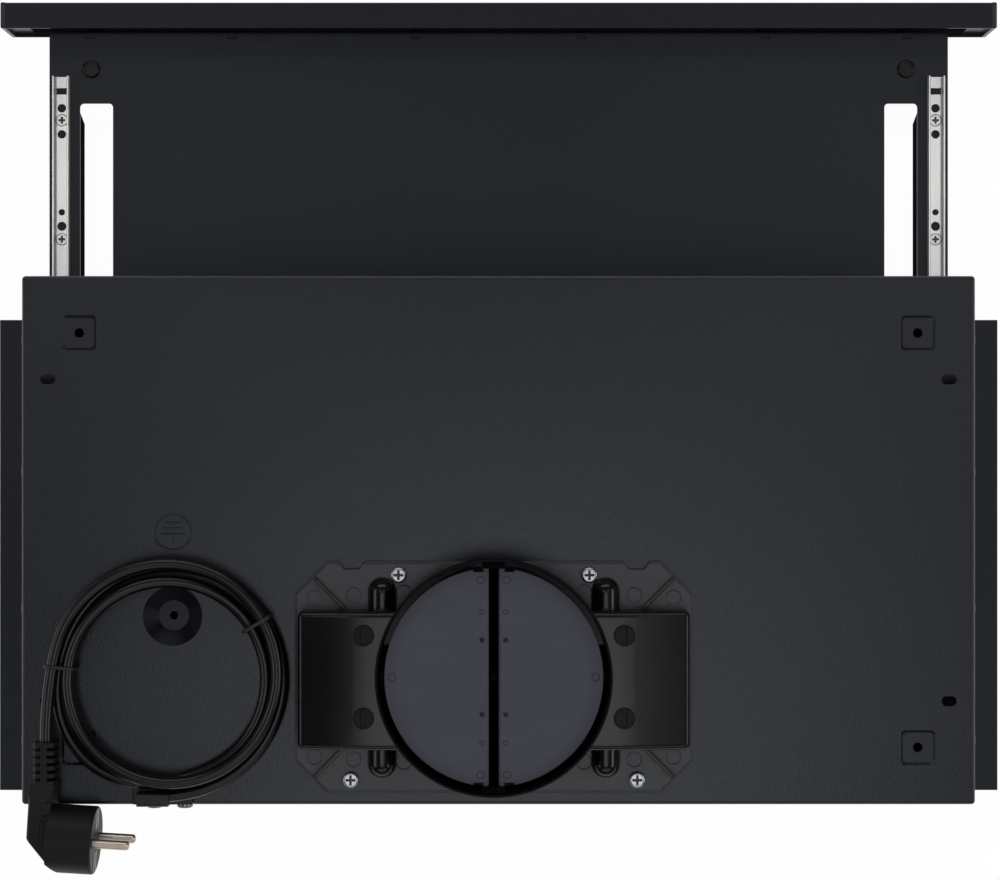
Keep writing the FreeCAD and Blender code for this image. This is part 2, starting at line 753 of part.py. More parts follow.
def flap():
    """The right-hand half-moon flap, shut, with its hinge barrel and pins."""
    base = Vec(outlet_offset, collar_middle, flap_top - flap_thickness)
    disc = rod(flap_radius, base, base + UP * flap_thickness)
    edge = outlet_offset + flap_axis
    half = disc.common(slab(edge, edge + collar_radius, collar_middle - collar_radius,
                            collar_middle + collar_radius, base.z - 1, flap_top + 1))
    x = outlet_offset + flap_axis
    seat = flap_seat()
    reach = math.sqrt(flap_radius ** 2 - (flap_axis + flap_barrel) ** 2)
    barrel = rod(flap_barrel, Vec(x, collar_middle - seat, flap_axis_level),
                 Vec(x, collar_middle + seat, flap_axis_level))
    pin = rod(flap_pin, Vec(x, collar_middle - seat - flap_pin_length, flap_axis_level),
              Vec(x, collar_middle + seat + flap_pin_length, flap_axis_level))
    plate = half.common(slab(edge, edge + collar_radius, collar_middle - reach, collar_middle + reach,
                             base.z - 1, flap_top + 1))
    marks = []
    for share in (-0.6, -0.34, 0.34, 0.6):
        mark = Vec(x + 1.25 * flap_barrel, collar_middle + share * flap_radius, flap_top)
        marks.append(tube(0.9 * flap_barrel, 0.55 * flap_barrel, mark - UP * mark_depth, mark))
    for across, along in ((0.93, 0.0), (0.12, 0.89), (0.12, -0.89)):
        mark = Vec(outlet_offset + across * flap_radius, collar_middle + along * flap_radius, flap_top)
        marks.append(tube(1.3 * flap_barrel, 1.1 * flap_barrel, mark - UP * mark_depth, mark))
    trims = []
    for way in (-1, 1):
        end = flap_radius - flap_trim[1]
        y0, y1 = sorted((collar_middle + way * end, collar_middle + way * collar_radius))
        trims.append(slab(edge - 1, edge + flap_trim[0], y0, y1, base.z - 1, flap_top + 1))
    return fuse([plate.cut(trims), barrel, pin]).cut(marks)


# Blower

def volute(inset, top):
    """Outline of the scroll, seen along X: three growing quarter arcs and a chute that goes up."""
    y, z = blower_middle, blower_level
    small, middle, large = (volute_start + step * volute_step - inset for step in range(3))
    step = volute_step
    tip = tongue_place + inset
    side = chute_outer - inset

    def quarter(cy, cz, radius, start):
        spots = [Vec(0, y + cy + radius * math.cos(a), z + cz + radius * math.sin(a))
                 for a in (start, start + math.pi / 4, start + math.pi / 2)]
        return Part.Arc(*spots).toShape()

    arcs = [quarter(0, 0, small, math.pi / 2), quarter(step, 0, middle, math.pi),
            quarter(step, step, large, 1.5 * math.pi)]
    line = [Vec(0, y + side, z + step), Vec(0, y + side, top), Vec(0, y + tip, top),
            Vec(0, y + tip, z + small), Vec(0, y, z + small)]
    edges = arcs + [Part.makeLine(a, b) for a, b in zip(line, line[1:])]
    return Part.Face(Part.Wire(Part.__sortEdges__(edges)))


def scroll():
    start = outlet_offset + scroll_inner
    outer = volute(0, roof).extrude(Vec(scroll_width, 0, 0))
    inner = volute(scroll_wall, roof + sheet).extrude(Vec(scroll_width - 2 * scroll_wall, 0, 0))
    outer.translate(Vec(start, 0, 0))
    inner.translate(Vec(start + scroll_wall, 0, 0))
    end = start + scroll_width
    eye = Vec(end, blower_middle, blower_level)
    wall = Vec(scroll_wall, 0, 0)
    mouth = rod(inlet_radius + 2 * scroll_wall, eye - wall, eye + wall * 3)
    bore = rod(inlet_radius, Vec(start, blower_middle, blower_level) - wall, eye + wall * 5)
    return outer.fuse(mouth).cut([inner, bore])


def wheel():
    """Forward-curved blower wheel: blades between two rings, on a disc with a hub."""
    x0 = outlet_offset + wheel_inner
    x1 = x0 + wheel_width
    middle = (x0 + x1) / 2
    rim, root = wheel_radius, wheel_radius * 0.82
    ring = wheel_ring

    def at(x):
        return Vec(x, blower_middle, blower_level)

    disc, hub = wheel_disc / 2, hub_length / 2
    pieces = [tube(rim, root + ring / 2, at(x0), at(x0 + ring)),
              tube(rim, root + ring / 2, at(x1 - ring), at(x1)),
              rod(rim - ring / 2, at(middle - disc), at(middle + disc)),
              rod(boss_radius, at(middle - hub), at(middle + hub))]
    for number in range(wheel_blades):
        turn = 2 * math.pi * number / wheel_blades
        spots = []
        for share, lead in ((0.0, 0.0), (0.5, 0.02), (1.0, 0.10)):
            radius = root + share * (rim - ring / 4 - root)
            spots.append((radius, turn + lead))
        blade = blade_solid(spots, x0 + ring / 2, x1 - ring / 2)
        pieces.append(blade)
    return fuse(pieces).cut(rod(shaft_radius, at(x0 - ring), at(x1 + ring)))


def blade_solid(spots, x0, x1):
    def line(shift):
        turned = [(r, a + shift / r) for r, a in spots]
        return [Vec(x0, blower_middle + r * math.cos(a), blower_level + r * math.sin(a)) for r, a in turned]

    front, back = line(0.0), line(blade_thickness)
    edges = [Part.Arc(*front).toShape(), Part.makeLine(front[2], back[2]),
             Part.Arc(back[2], back[1], back[0]).toShape(), Part.makeLine(back[0], front[0])]
    return Part.Face(Part.Wire(edges)).extrude(Vec(x1 - x0, 0, 0))


def along_shaft(x):
    return Vec(outlet_offset + x, blower_middle, blower_level)


def motor_can():
    half = motor_length / 2
    foot_low = blower_level - motor_radius - bracket_drop
    can = rod(motor_radius, along_shaft(-half), along_shaft(half))
    boss = rod(boss_radius, along_shaft(-half - boss_length), along_shaft(half + boss_length))
    foot = slab(outlet_offset - half * 0.8, outlet_offset + half * 0.8, blower_middle - motor_radius * 0.5,
                blower_middle + motor_radius * 0.5, foot_low, blower_level)
    hollow = rod(motor_radius - can_wall, along_shaft(-half + can_wall), along_shaft(half - can_wall))
    bore = rod(bush_radius, along_shaft(-motor_length), along_shaft(motor_length))
    return fuse([can, boss, foot]).cut([hollow, bore])


def motor_bushes():
    half = motor_length / 2
    right = tube(bush_radius, shaft_radius + bush_clearance, along_shaft(half - can_wall),
                 along_shaft(half + boss_length))
    return Part.makeCompound(both_sides(right, outlet_offset))


def motor_stator():
    outer = motor_radius - can_wall
    return tube(outer, outer - stator_ring, along_shaft(-core_length / 2), along_shaft(core_length / 2))


def rotor_shaft():
    core = motor_radius - can_wall - stator_ring - air_gap
    reach = wheel_inner + wheel_width - wheel_ring
    return fuse([rod(core, along_shaft(-core_length / 2), along_shaft(core_length / 2)),
                 rod(shaft_radius, along_shaft(-reach), along_shaft(reach))])


def motor_bracket():
    """A bridge under the motor's foot that stands between the two scrolls."""
    seat = blower_level - motor_radius - bracket_drop
    low = blower_level - (inlet_radius + volute_start) / 2 - bracket_drop
    half_y = motor_radius * 0.42
    deck = slab(outlet_offset - scroll_inner, outlet_offset + scroll_inner, blower_middle - half_y,
                blower_middle + half_y, seat - scroll_wall, seat)
    side = outlet_offset + scroll_inner
    ear = slab(side - scroll_wall, side, blower_middle - half_y, blower_middle + half_y, low, seat)
    return fuse([deck] + both_sides(ear, outlet_offset))


def run_capacitor():
    wide, deep, tall = capacitor_size
    low = casing_height / 2
    left = capacitor_inset - half_width - wide / 2
    body = slab(left, left + wide, rear_inner - deep, rear_inner, low, low + tall)
    return rounded(body, 2 * sheet, lambda b: b.ZLength > tall / 2)


# Cross rail, controls, lamps and filters

def control_slots():
    """Cut-outs for the knob stems: centre, travel and stem size of each."""
    middle = (cross_front + cross_rear) / 2
    return [(speed_place, middle, speed_travel), (light_place, middle, light_travel)]


def stem_cut(x, y, travel, z0, z1):
    gap = knob_gap
    return slab(x - knob_stem[0] / 2 - gap, x + travel + knob_stem[0] / 2 + gap, y - knob_stem[1] / 2 - gap,
                y + knob_stem[1] / 2 + gap, z0, z1)


def cross_rail():
    low, high = cross_rail_level, cross_top
    floor = slab(-wall_inner, wall_inner, cross_front, cross_rear, low, low + sheet)
    front = slab(-wall_inner, wall_inner, cross_front, cross_front + sheet, low, high)
    rear = slab(-wall_inner, wall_inner, cross_rear - sheet, cross_rear, low, high)
    end = slab(wall_inner - sheet, wall_inner, cross_front, cross_rear, low, high)
    middle = (cross_front + cross_rear) / 2
    cuts = [stem_cut(x, y, travel, low - 1, high) for x, y, travel in control_slots()]
    for side in (-1, 1):
        lamp = Vec(side * (half_width - lamp_inset), middle, low - 1)
        cuts.append(rod(lamp_radius + hole_clearance, lamp, lamp + UP * high))
    return fuse([floor, front, rear] + both_sides(end)).cut(cuts)


def control_bezel():
    length, width, thick = bezel
    middle = (cross_front + cross_rear) / 2
    plate = slab(-length / 2, length / 2, middle - width / 2, middle + width / 2,
                 cross_rail_level - thick, cross_rail_level)
    plate = rounded(plate, 3, lambda b: b.ZLength > thick / 2)
    return plate.cut([stem_cut(x, y, travel, 0, cross_rail_level + 1) for x, y, travel in control_slots()])


def switch_body(number):
    """A slide switch on the rail's floor, with the slot that its knob's stem runs in."""
    x, y, travel = control_slots()[number]
    floor = cross_rail_level + sheet
    margin = switch_margin + knob_stem[0]
    half = 2.5 * knob_stem[1]
    body = slab(x - margin, x + travel + margin, y - half, y + half, floor, cross_top)
    return body.cut(stem_cut(x, y, travel, floor - 1, cross_top - sheet))


def knob(number):
    x, y, travel = control_slots()[number]
    top = cross_rail_level - bezel[2] - knob_gap
    length, width, thick = knob_cap
    cap = slab(x - length / 2, x + length / 2, y - width / 2, y + width / 2, top - thick, top)
    cap = rounded(cap, thick * 0.8, lambda b: b.ZLength > thick / 2)
    stem = slab(x - knob_stem[0] / 2, x + knob_stem[0] / 2, y - knob_stem[1] / 2, y + knob_stem[1] / 2,
                top - thick / 2, cross_top - sheet - 2 * knob_gap)
    return fuse([cap, stem])


def lamp_housing():
    x, y = half_width - lamp_inset, (cross_front + cross_rear) / 2
    low = cross_rail_level
    body = rod(lamp_radius, Vec(x, y, low - lamp_rim_drop), Vec(x, y, cross_top))
    rim = rod(lamp_radius + lamp_rim, Vec(x, y, low - lamp_rim_drop), Vec(x, y, low))
    seat = rod(lamp_radius - sheet, Vec(x, y, 0), Vec(x, y, low))
    hollow = rod(lamp_radius - 2 * sheet, Vec(x, y, 0), Vec(x, y, cross_top - sheet))
    return fuse([body, rim]).cut([seat, hollow])


def lamp_lens():
    x, y = half_width - lamp_inset, (cross_front + cross_rear) / 2
    top = cross_rail_level
    return rod(lamp_radius - sheet - hole_clearance, Vec(x, y, top - lens_thickness), Vec(x, y, top))


def filter_frame():
    z0, z1 = filter_bottom, filter_bottom + filter_thickness
    body = slab(filter_inner, filter_outer, filter_front, filter_rear, z0, z1)
    body = rounded(body, filter_wall * 2, lambda b: b.ZLength > filter_wall)
    hollow = slab(filter_inner + filter_wall, filter_outer - filter_wall, filter_front + filter_wall,
                  filter_rear - filter_wall, z0 + filter_wall, z1 - filter_wall)
    border = filter_border
    window = slab(filter_inner + border, filter_outer - border, filter_front + 1.4 * border,
                  filter_rear - border, z0 - 1, z1 + 1)
    middle = (filter_inner + filter_outer) / 2
    finger = stadium(finger_slot[0], finger_slot[1], Vec(middle, filter_front + 0.7 * filter_border,
                                                         z0 + filter_wall + 0.5), filter_wall + 1)
    return body.cut([hollow, window, finger])


def filter_mesh():
    z0 = filter_bottom + filter_wall
    edge = filter_wall
    keep = 1.4 * filter_border - filter_border
    return slab(filter_inner + edge, filter_outer - edge, filter_front + edge + filter_border + keep / 2,
                filter_rear - edge, z0, z0 + filter_mesh_thickness)


def filter_clips():
    """Leaf springs on the cross rail that hold each filter's front edge."""
    clips = []
    low = cross_rail_level + sheet
    face = filter_front - clip_gap
    for share in (0.25, 0.75):
        x = filter_inner + share * (filter_outer - filter_inner)
        points = [(cross_rear, cross_top), (cross_rear, low), (cross_rear + clip_sheet, low),
                  (face, (low + cross_top) / 2), (cross_rear + clip_sheet, cross_top)]
        outline = [Vec(x - clip_width / 2, y, z) for y, z in points]
        clips += both_sides(prism(outline, Vec(clip_width, 0, 0)))
    return Part.makeCompound(clips)


# Telescopic slides

def track():
    """Outer slide member: a channel, open down, under the wing."""
    y0, y1 = track_front, track_front + track_length
    out = track_inner + rail_sheet
    web = slab(rail_centre - out, rail_centre + out, y0, y1, track_roof, wing_under)
    legs = [slab(rail_centre + a, rail_centre + b, y0, y1, drawer_top + track_foot_gap, wing_under)
            for a, b in ((-out, -track_inner), (track_inner, out))]
    return fuse([web] + legs)


def rail_screw_places():
    return [Vec(rail_centre, rail_front + share, drawer_top + rail_sheet)
            for share in rail_screws_at]


def rail():
    """Inner slide member: a channel, open up, on the drawer's strip."""
    out = rail_width / 2
    floor = drawer_top + rail_sheet
    web = slab(rail_centre - out, rail_centre + out, rail_front, rail_rear, drawer_top, floor)
    legs = [slab(rail_centre + a, rail_centre + b, rail_front, rail_rear, drawer_top, rail_top)
            for a, b in ((-out, -out + rail_sheet), (out - rail_sheet, out))]
    wide, tall, middle = rail_window[0] / 2, rail_window[1] / 2, rail_front + rail_window[2]
    cuts = [slab(rail_centre - wide, rail_centre + wide, middle - tall, middle + tall,
                 drawer_top - 1, floor + 1)]
    for place, radius in rail_holes:
        hole = Vec(rail_centre, rail_front + place, drawer_top - 1)
        cuts.append(rod(radius, hole, hole + UP * (rail_sheet + 2)))
    for place in rail_screw_places():
        cuts.append(Part.makeCone(flat_head + hole_clearance, screw_radius + hole_clearance, rail_sheet,
                                  place, -UP))
        cuts.append(rod(flat_head + head_ring[0], place + UP, place - UP * head_ring[1]))
    return fuse([web] + legs).cut(cuts)


def rail_screws():
    screws = []
    for place in rail_screw_places():
        head = Part.makeCone(flat_head, screw_radius, rail_sheet, place, -UP)
        shank = rod(screw_radius, place - UP * rail_sheet / 2, place - UP * (rail_sheet + 3 * sheet))
        long, slim, deep = 0.6 * flat_head, 0.19 * flat_head, 0.7 * rail_sheet
        cross = [slab(place.x - a, place.x + a, place.y - b, place.y + b, place.z - deep, place.z + deep)
                 for a, b in ((long, slim), (slim, long))]
        screws += both_sides(fuse([head, shank]).cut(cross))
    return Part.makeCompound(screws)


def ball_cage():
    """Cage of the slide's balls, with the balls in it."""
    web_low = rail_top + (roof_gap - cage_sheet) / 2
    leg_low = drawer_top + track_foot_gap
    leg = rail_width / 2 + track_gap / 2
    half = cage_sheet / 2
    level = (leg_low + rail_top) / 2
    web = slab(rail_centre - leg - half, rail_centre + leg + half, cage_front, cage_rear, web_low,
               web_low + cage_sheet)
    pieces = [web]
    balls = []
    holes = []
    pitch = (cage_rear - cage_front) / balls_per_row
    for side in (-1, 1):
        x = rail_centre + side * leg
        pieces.append(slab(x - half, x + half, cage_front, cage_rear, leg_low, web_low + cage_sheet))
        for number in range(balls_per_row):
            middle = Vec(x, cage_front + (number + 0.5) * pitch, level)
            balls.append(Part.makeSphere(ball_diameter / 2, middle))
            reach = Vec(ball_diameter, 0, 0)
            holes.append(rod(ball_diameter / 2 + ball_play, middle - reach, middle + reach))
    return Part.makeCompound([fuse(pieces).cut(holes)] + balls)


# Drawer

def drawer_panel():
    z0, z1 = drawer_level, drawer_top
    rear = casing_front + drawer_tuck
    strip_rear = rail_rear + sheet
    band = slab(-strip_outer, strip_outer, drawer_front, slot_front, z0, z1)
    middle = slab(-slot_inner, slot_inner, drawer_front, rear, z0, z1)
    strip = slab(strip_inner, strip_outer, drawer_front, strip_rear, z0, z1)
    start = slot_front + 5 * sheet
    ear = [Vec(strip_inner, start, z1), Vec(strip_inner, start + slot_flange * 0.4, z0 - slot_flange),
           Vec(strip_inner, strip_rear, z0 - slot_flange), Vec(strip_inner, strip_rear, z1)]
    flange = prism(ear, Vec(sheet, 0, 0))
    lip = slab(strip_outer - sheet, strip_outer, drawer_front + rail_setback, strip_rear, z0 - strip_lip, z1)
    bar_floor = bar_lift + bar_wall
    skirt = slab(-strip_outer + sheet, strip_outer - sheet, drawer_front, drawer_front + sheet,
                 bar_floor + sheet, z1)
    pieces = [band, middle, skirt] + both_sides(strip) + both_sides(flange) + both_sides(lip)
    for x, way in ((slot_inner, 1), (strip_inner, -1)):
        x0, x1 = sorted((x, x + way * slot_corner))
        hub = Vec(x + way * slot_corner, slot_front + slot_corner, z0)
        web = slab(x0, x1, slot_front, slot_front + slot_corner, z0, z1)
        pieces += both_sides(web.cut(rod(slot_corner, hub, hub + UP * sheet)))
    cuts = []
    for share in foot_shares:
        place = share * half_width
        foot = slab(place - foot_width / 2, place + foot_width / 2, drawer_front - foot_reach,
                    drawer_front + sheet, bar_floor, bar_floor + sheet)
        leg = slab(place - foot_width / 2, place + foot_width / 2, drawer_front, drawer_front + sheet,
                   bar_floor, bar_floor + 2 * sheet)
        pieces += both_sides(foot) + both_sides(leg)
        wide, long, deep = foot_groove
        groove = slab(place - wide / 2, place + wide / 2, drawer_front + 2 * sheet,
                      drawer_front + 2 * sheet + long, z1 - deep * sheet, z1 + 1)
        cuts += both_sides(groove)
    cuts += [rod(buffer_radius * 0.5, p - UP * 3 * sheet, p + UP) for p in buffer_places()]
    for place in rail_screw_places():
        hole = rod(screw_radius + hole_clearance, place, place - UP * (rail_sheet + 4 * sheet))
        cuts += both_sides(hole)
    return fuse(pieces).cut(cuts)


def buffer_places():
    x = (slot_inner + strip_inner) / 2 + buffer_shift
    return [Vec(side * x, drawer_front + buffer_setback, drawer_top) for side in (-1, 1)]


def drawer_buffers():
    """Round rubber buffers, each pushed into a hole of the drawer sheet."""
    buffers = []
    for place in buffer_places():
        head = rod(buffer_radius, place, place + UP * buffer_height)
        head = rounded(head, buffer_height * 0.7, lambda b: b.ZMin > drawer_top + buffer_height / 2)
        stem = rod(buffer_radius * 0.5 - hole_clearance, place - UP * sheet, place + UP * buffer_height / 2)
        ring = tube(buffer_radius * 0.66, buffer_radius * 0.5, place + UP * buffer_height * 0.7,
                    place + UP * 2 * buffer_height)
        buffers.append(fuse([head, stem]).cut(ring))
    return Part.makeCompound(buffers)


def front_bar():
    """A channel, open to the rear, that the drawer is pulled by."""
    half = bar_width / 2 - cap_thickness
    low, high = bar_lift, bar_lift + bar_height
    body = slab(-half, half, bar_front, drawer_front, low, high)
    body = rounded(body, bar_wall, lambda b: b.XLength > half and b.YMax < bar_front + bar_wall)
    hollow = slab(-half - 1, half + 1, bar_front + bar_wall, drawer_front + 1, low + bar_wall,
                  high - bar_wall)
    return body.cut(hollow)


def bar_end_cap():
    half = bar_width / 2
    low, high = bar_lift, bar_lift + bar_height
    plate = slab(half - cap_thickness, half, bar_front, drawer_front, low, high)
    plate = rounded(plate, cap_thickness * 0.4, lambda b: b.XMin > half - cap_thickness / 2)
    play = bar_wall + hole_clearance
    spigot = slab(half - cap_thickness - cap_spigot, half - cap_thickness + 0.1, bar_front + play,
                  drawer_front - 2 * bar_wall, low + play, high - play)
    return fuse([plate, spigot])


# Mains cord

def coil_spot(turn):
    """Point and heading of the cord's middle line after so many turns of the coil."""
    def radius_and_level(t):
        climb_from = coil_turns_in
        climb_to = coil_turns_in + 0.5
        if t <= climb_from:
            return coil_outer - coil_step_in * t, coil_level
        start = coil_outer - coil_step_in * climb_from
        if t <= climb_to:
            part = t - climb_from
            radius = start - coil_step_in * part + (coil_step_in + coil_step_out) * part ** 2
            share = part / 0.5
            return radius, coil_level + coil_rise * (3 * share ** 2 - 2 * share ** 3)
        low = start - coil_step_in * 0.5 + (coil_step_in + coil_step_out) * 0.25
        return low + coil_step_out * min(t - climb_to, coil_turns_grow), coil_level + coil_rise

    def spot(t):
        radius, level = radius_and_level(t)
        angle = 2 * math.pi * t
        return Vec(coil_x - radius * math.sin(angle), coil_y + radius * math.cos(angle), level)

    step = 1e-5
    heading = spot(turn + step) - spot(turn - step)
    return spot(turn), heading.normalize()


def arc_from(start, heading, end):
    """The circular arc that leaves the start point along the heading and ends at the end point."""
    chord = end - start
    along = Vec(chord).normalize()
    side = heading - along * heading.dot(along)
    if side.Length < 1e-7:
        return Part.makeLine(start, end)
    half = math.acos(max(-1.0, min(1.0, heading.dot(along)))) / 2
    middle = (start + end) * 0.5 + side.normalize() * (chord.Length / 2 * math.tan(half))
    return Part.Arc(start, middle, end).toShape()


def biarc(start, heading, end, last):
    """Two arcs that join two points and keep the headings at both."""
    gap = end - start
    both = heading + last
    spread = 2 * (1 - heading.dot(last))
    ahead = gap.dot(both)
    reach = (math.sqrt(ahead ** 2 + spread * gap.dot(gap)) - ahead) / spread
    joint = (start + end + (heading - last) * reach) * 0.5
    second = arc_from(end, last * -1, joint)
    return [arc_from(start, heading, joint), second]


def coil_end():
    return coil_turns_in + 0.5 + coil_turns_out


def coil_route():
    """Edges of the coil's middle line, a quarter turn at a time, with a straight run at both ends."""
    last = coil_end()
    count = math.ceil(last * 4)
    turns = [last * number / count for number in range(count + 1)]
    spots = [coil_spot(turn) for turn in turns]
    first, heading = spots[0]
    heading = Vec(-1, 0, 0)
    spots[0] = (first, heading)
    edges = [Part.makeLine(first - heading * cord_diameter, first)]
    for (a, ha), (b, hb) in zip(spots, spots[1:]):
        edges += biarc(a, ha, b, hb)
    end, way = spots[-1]
    edges.append(Part.makeLine(end, end + way * cord_diameter))
    return edges


def least_self_gap(edges):
    """Smallest distance between turns of the coil, measured on points a few millimetres apart."""
    points = []
    travelled = []
    length = 0.0
    for edge in edges:
        spots = edge.discretize(Number=max(2, int(edge.Length / 3) + 2))
        if points and (spots[0] - points[-1]).Length > (spots[-1] - points[-1]).Length:
            spots.reverse()
        for spot in spots:
            length += (spot - points[-1]).Length if points else 0.0
            points.append(spot)
            travelled.append(length)
    least = min((points[j] - points[i]).Length for i in range(len(points)) for j in range(i + 1, len(points))
                if travelled[j] - travelled[i] > 6 * cord_diameter)
    return least - cord_diameter, length


def cord_coil():
    edges = coil_route()
    gap, length = least_self_gap(edges)
    print("coil: length %.1f, least gap to itself %.2f" % (length, gap))
    start = edges[0].Vertexes[0].Point
    profile = Part.Wire(Part.makeCircle(cord_diameter / 2, start, Vec(-1, 0, 0)))
    solid = Part.Wire(Part.__sortEdges__(edges)).makePipeShell([profile], True, False)
    area = math.pi * cord_diameter ** 2 / 4
    print("coil: volume %.1f, section times length %.1f" % (solid.Volume, area * length))
    return solid


def tail_start():
    end, way = coil_spot(coil_end())
    flat = Vec(way.x, way.y, 0).normalize()
    return end + flat * cord_diameter, flat


def tail_points():
    """Start, middle and end of the arc that turns the coil's last heading to straight back."""
    start, way = tail_start()
    lean = math.atan2(way.x, way.y)
    run = casing_rear - plug_on_panel - start.y
    end = start + Vec(run * math.tan(lean / 2), run, 0)
    outward = Vec(math.cos(lean / 2), -math.sin(lean / 2), 0)
    middle = (start + end) * 0.5 + outward * ((end - start).Length / 2 * math.tan(lean / 4))
    return start, middle, end


def cord_tail():
    start, way = tail_start()
    arc = Part.Arc(*tail_points()).toShape()
    profile = Part.Wire(Part.makeCircle(cord_diameter / 2, start, way))
    solid = Part.Wire(arc).makePipeShell([profile], True, False)
    area = math.pi * cord_diameter ** 2 / 4
    print("tail: arc radius %.1f, length %.1f, volume %.1f, section times length %.1f" % (
        arc.Curve.Radius, arc.Length, solid.Volume, area * arc.Length))
    return solid


def strand_radius(turn):
    """Distance of the cord's middle line from the coil's centre, on the coil or on its tail."""
    if turn <= coil_end():
        spot = coil_spot(turn)[0]
    else:
        start, way = tail_start()
        spots = [start - way * cord_diameter * share for share in (1.0, 0.75, 0.5, 0.25)]
        spots += Part.Arc(*tail_points()).toShape().discretize(Number=40)
        wanted = 2 * math.pi * (turn % 1)
        spot = min(spots, key=lambda p: abs(math.atan2(coil_x - p.x, p.y - coil_y) % (2 * math.pi) - wanted))
    return math.hypot(spot.x - coil_x, spot.y - coil_y)


def cord_ties():
    """Two flat ties round the strands of the coil."""
    ties = []
    for turn in tie_turns:
        reach = [strand_radius(turn + whole) for whole in range(3)]
        clear = cord_diameter / 2 + tie_gap
        near, far = min(reach) - clear, max(reach) + clear
        low, high = casing_height + tie_thickness, coil_level + coil_rise + clear
        thick = tie_thickness
        outer = slab(-tie_width / 2, tie_width / 2, near - thick, far + thick, low - thick, high + thick)
        inner = slab(-tie_width, tie_width, near, far, low, high)
        outer = rounded(outer, cord_diameter / 2, lambda b: b.XLength > tie_width / 2 and b.ZMin > high)
        inner = rounded(inner, cord_diameter / 2 - thick,
                        lambda b: b.XLength > tie_width / 2 and b.ZMin > high - thick)
        tie = outer.cut(inner)
        tie.rotate(Vec(0, 0, 0), UP, 360 * turn)
        tie.translate(Vec(coil_x, coil_y, 0))
        ties.append(tie)
    return Part.makeCompound(ties)


def clamp_screw_places():
    return [Vec(clamp_place + shift, casing_rear - cord_play, clamp_floor() + pan_head + cord_play)
            for shift in clamp_screw_shift]


def cable_clamp():
    """Clamp block in the rear notch: a base with a saddle whose bore the cord leaves."""
    play = cord_play
    reach = clamp_notch[0] / 2 - play
    front, rear = casing_rear - clamp_notch[1] + play, casing_rear - play
    base = slab(clamp_place - reach, clamp_place + reach, front, rear, clamp_floor(),
                casing_height + tie_thickness)
    exit_x = coil_x + cord_diameter
    mouth = exit_x - cord_diameter - play
    axis = Vec(exit_x, coil_y + coil_outer, coil_level)
    half = cord_diameter / 2 + clamp_roof
    saddle = slab(mouth, mouth + clamp_saddle, axis.y - cord_diameter * 0.3, rear, casing_height,
                  coil_level + half)
    saddle = rounded(saddle, clamp_roof, lambda b: b.ZMin > coil_level + half - 1 and b.XLength > 1)
    bore = rod(cord_diameter / 2 + play, axis, axis - Vec(cord_diameter + 2 * play + 1, 0, 0))
    cuts = [bore]
    cuts += [rod(screw_radius, p + Vec(0, 1, 0), p - Vec(0, 7 * sheet, 0)) for p in clamp_screw_places()]
    return fuse([base, saddle]).cut(cuts)


def clamp_screws():
    return Part.makeCompound([pan_screw(p, Vec(0, -1, 0), 6 * sheet) for p in clamp_screw_places()])


def terminal_box():
    wide, deep, tall = terminal_size
    top = clamp_floor()
    half, wall = wide / 2, terminal_wall
    outer = slab(clamp_place - half, clamp_place + half, rear_inner - deep, rear_inner, top - tall, top)
    inner = slab(clamp_place - half + wall, clamp_place + half - wall, rear_inner - deep + wall,
                 rear_inner - wall, top - tall + wall, top - wall)
    way = clamp_notch[0] / 4
    cable = slab(clamp_place - way, clamp_place + way, rear_inner - deep / 3, rear_inner - 3 * wall,
                 top - 2 * wall, top + 1)
    return outer.cut([inner, cable])


def terminal_block():
    wide, deep, tall = terminal_size
    floor = clamp_floor() - tall + terminal_wall
    block = slab(clamp_place - wide * 0.32, clamp_place + wide * 0.32, rear_inner - deep * 0.75,
                 rear_inner - deep * 0.4, floor, floor + tall * 0.5)
    cuts = []
    for number in range(3):
        x = clamp_place + (number - 1) * wide * 0.2
        spot = Vec(x, rear_inner - deep * 0.575, floor + tall * 0.3)
        cuts.append(rod(screw_radius * 1.3, spot, spot + UP * tall))
    return block.cut(cuts)


def plug_frame():
    """Placement of the plug: local +Y goes on along the cord, local -X is the way its pins point."""
    return FreeCAD.Placement(tail_points()[2], FreeCAD.Rotation())


def head_turn():
    """The small turn of the plug's head about the end of its strain relief."""
    return FreeCAD.Placement(Vec(0, 0, 0), FreeCAD.Rotation(UP, -plug_tilt), Vec(0, relief_length, 0))


def strain_relief():
    half_w, half_h = relief_width / 2, relief_height / 2
    relief = slab(-half_w, half_w, 0, relief_length + half_h, -half_h, half_h)
    relief = rounded(relief, half_h * 0.4, lambda b: b.YLength > relief_length)
    slots = []
    pitch = relief_length / (relief_ribs + 0.5)
    for number in range(relief_ribs):
        y = (number + 0.9) * pitch
        for way in (-1, 1):
            x0, x1 = sorted((way * half_w * 0.3, way * (half_w + 1)))
            slots.append(slab(x0, x1, y - 0.22 * pitch, y + 0.22 * pitch, -half_h - 1, half_h + 1))
    return relief.cut(slots)


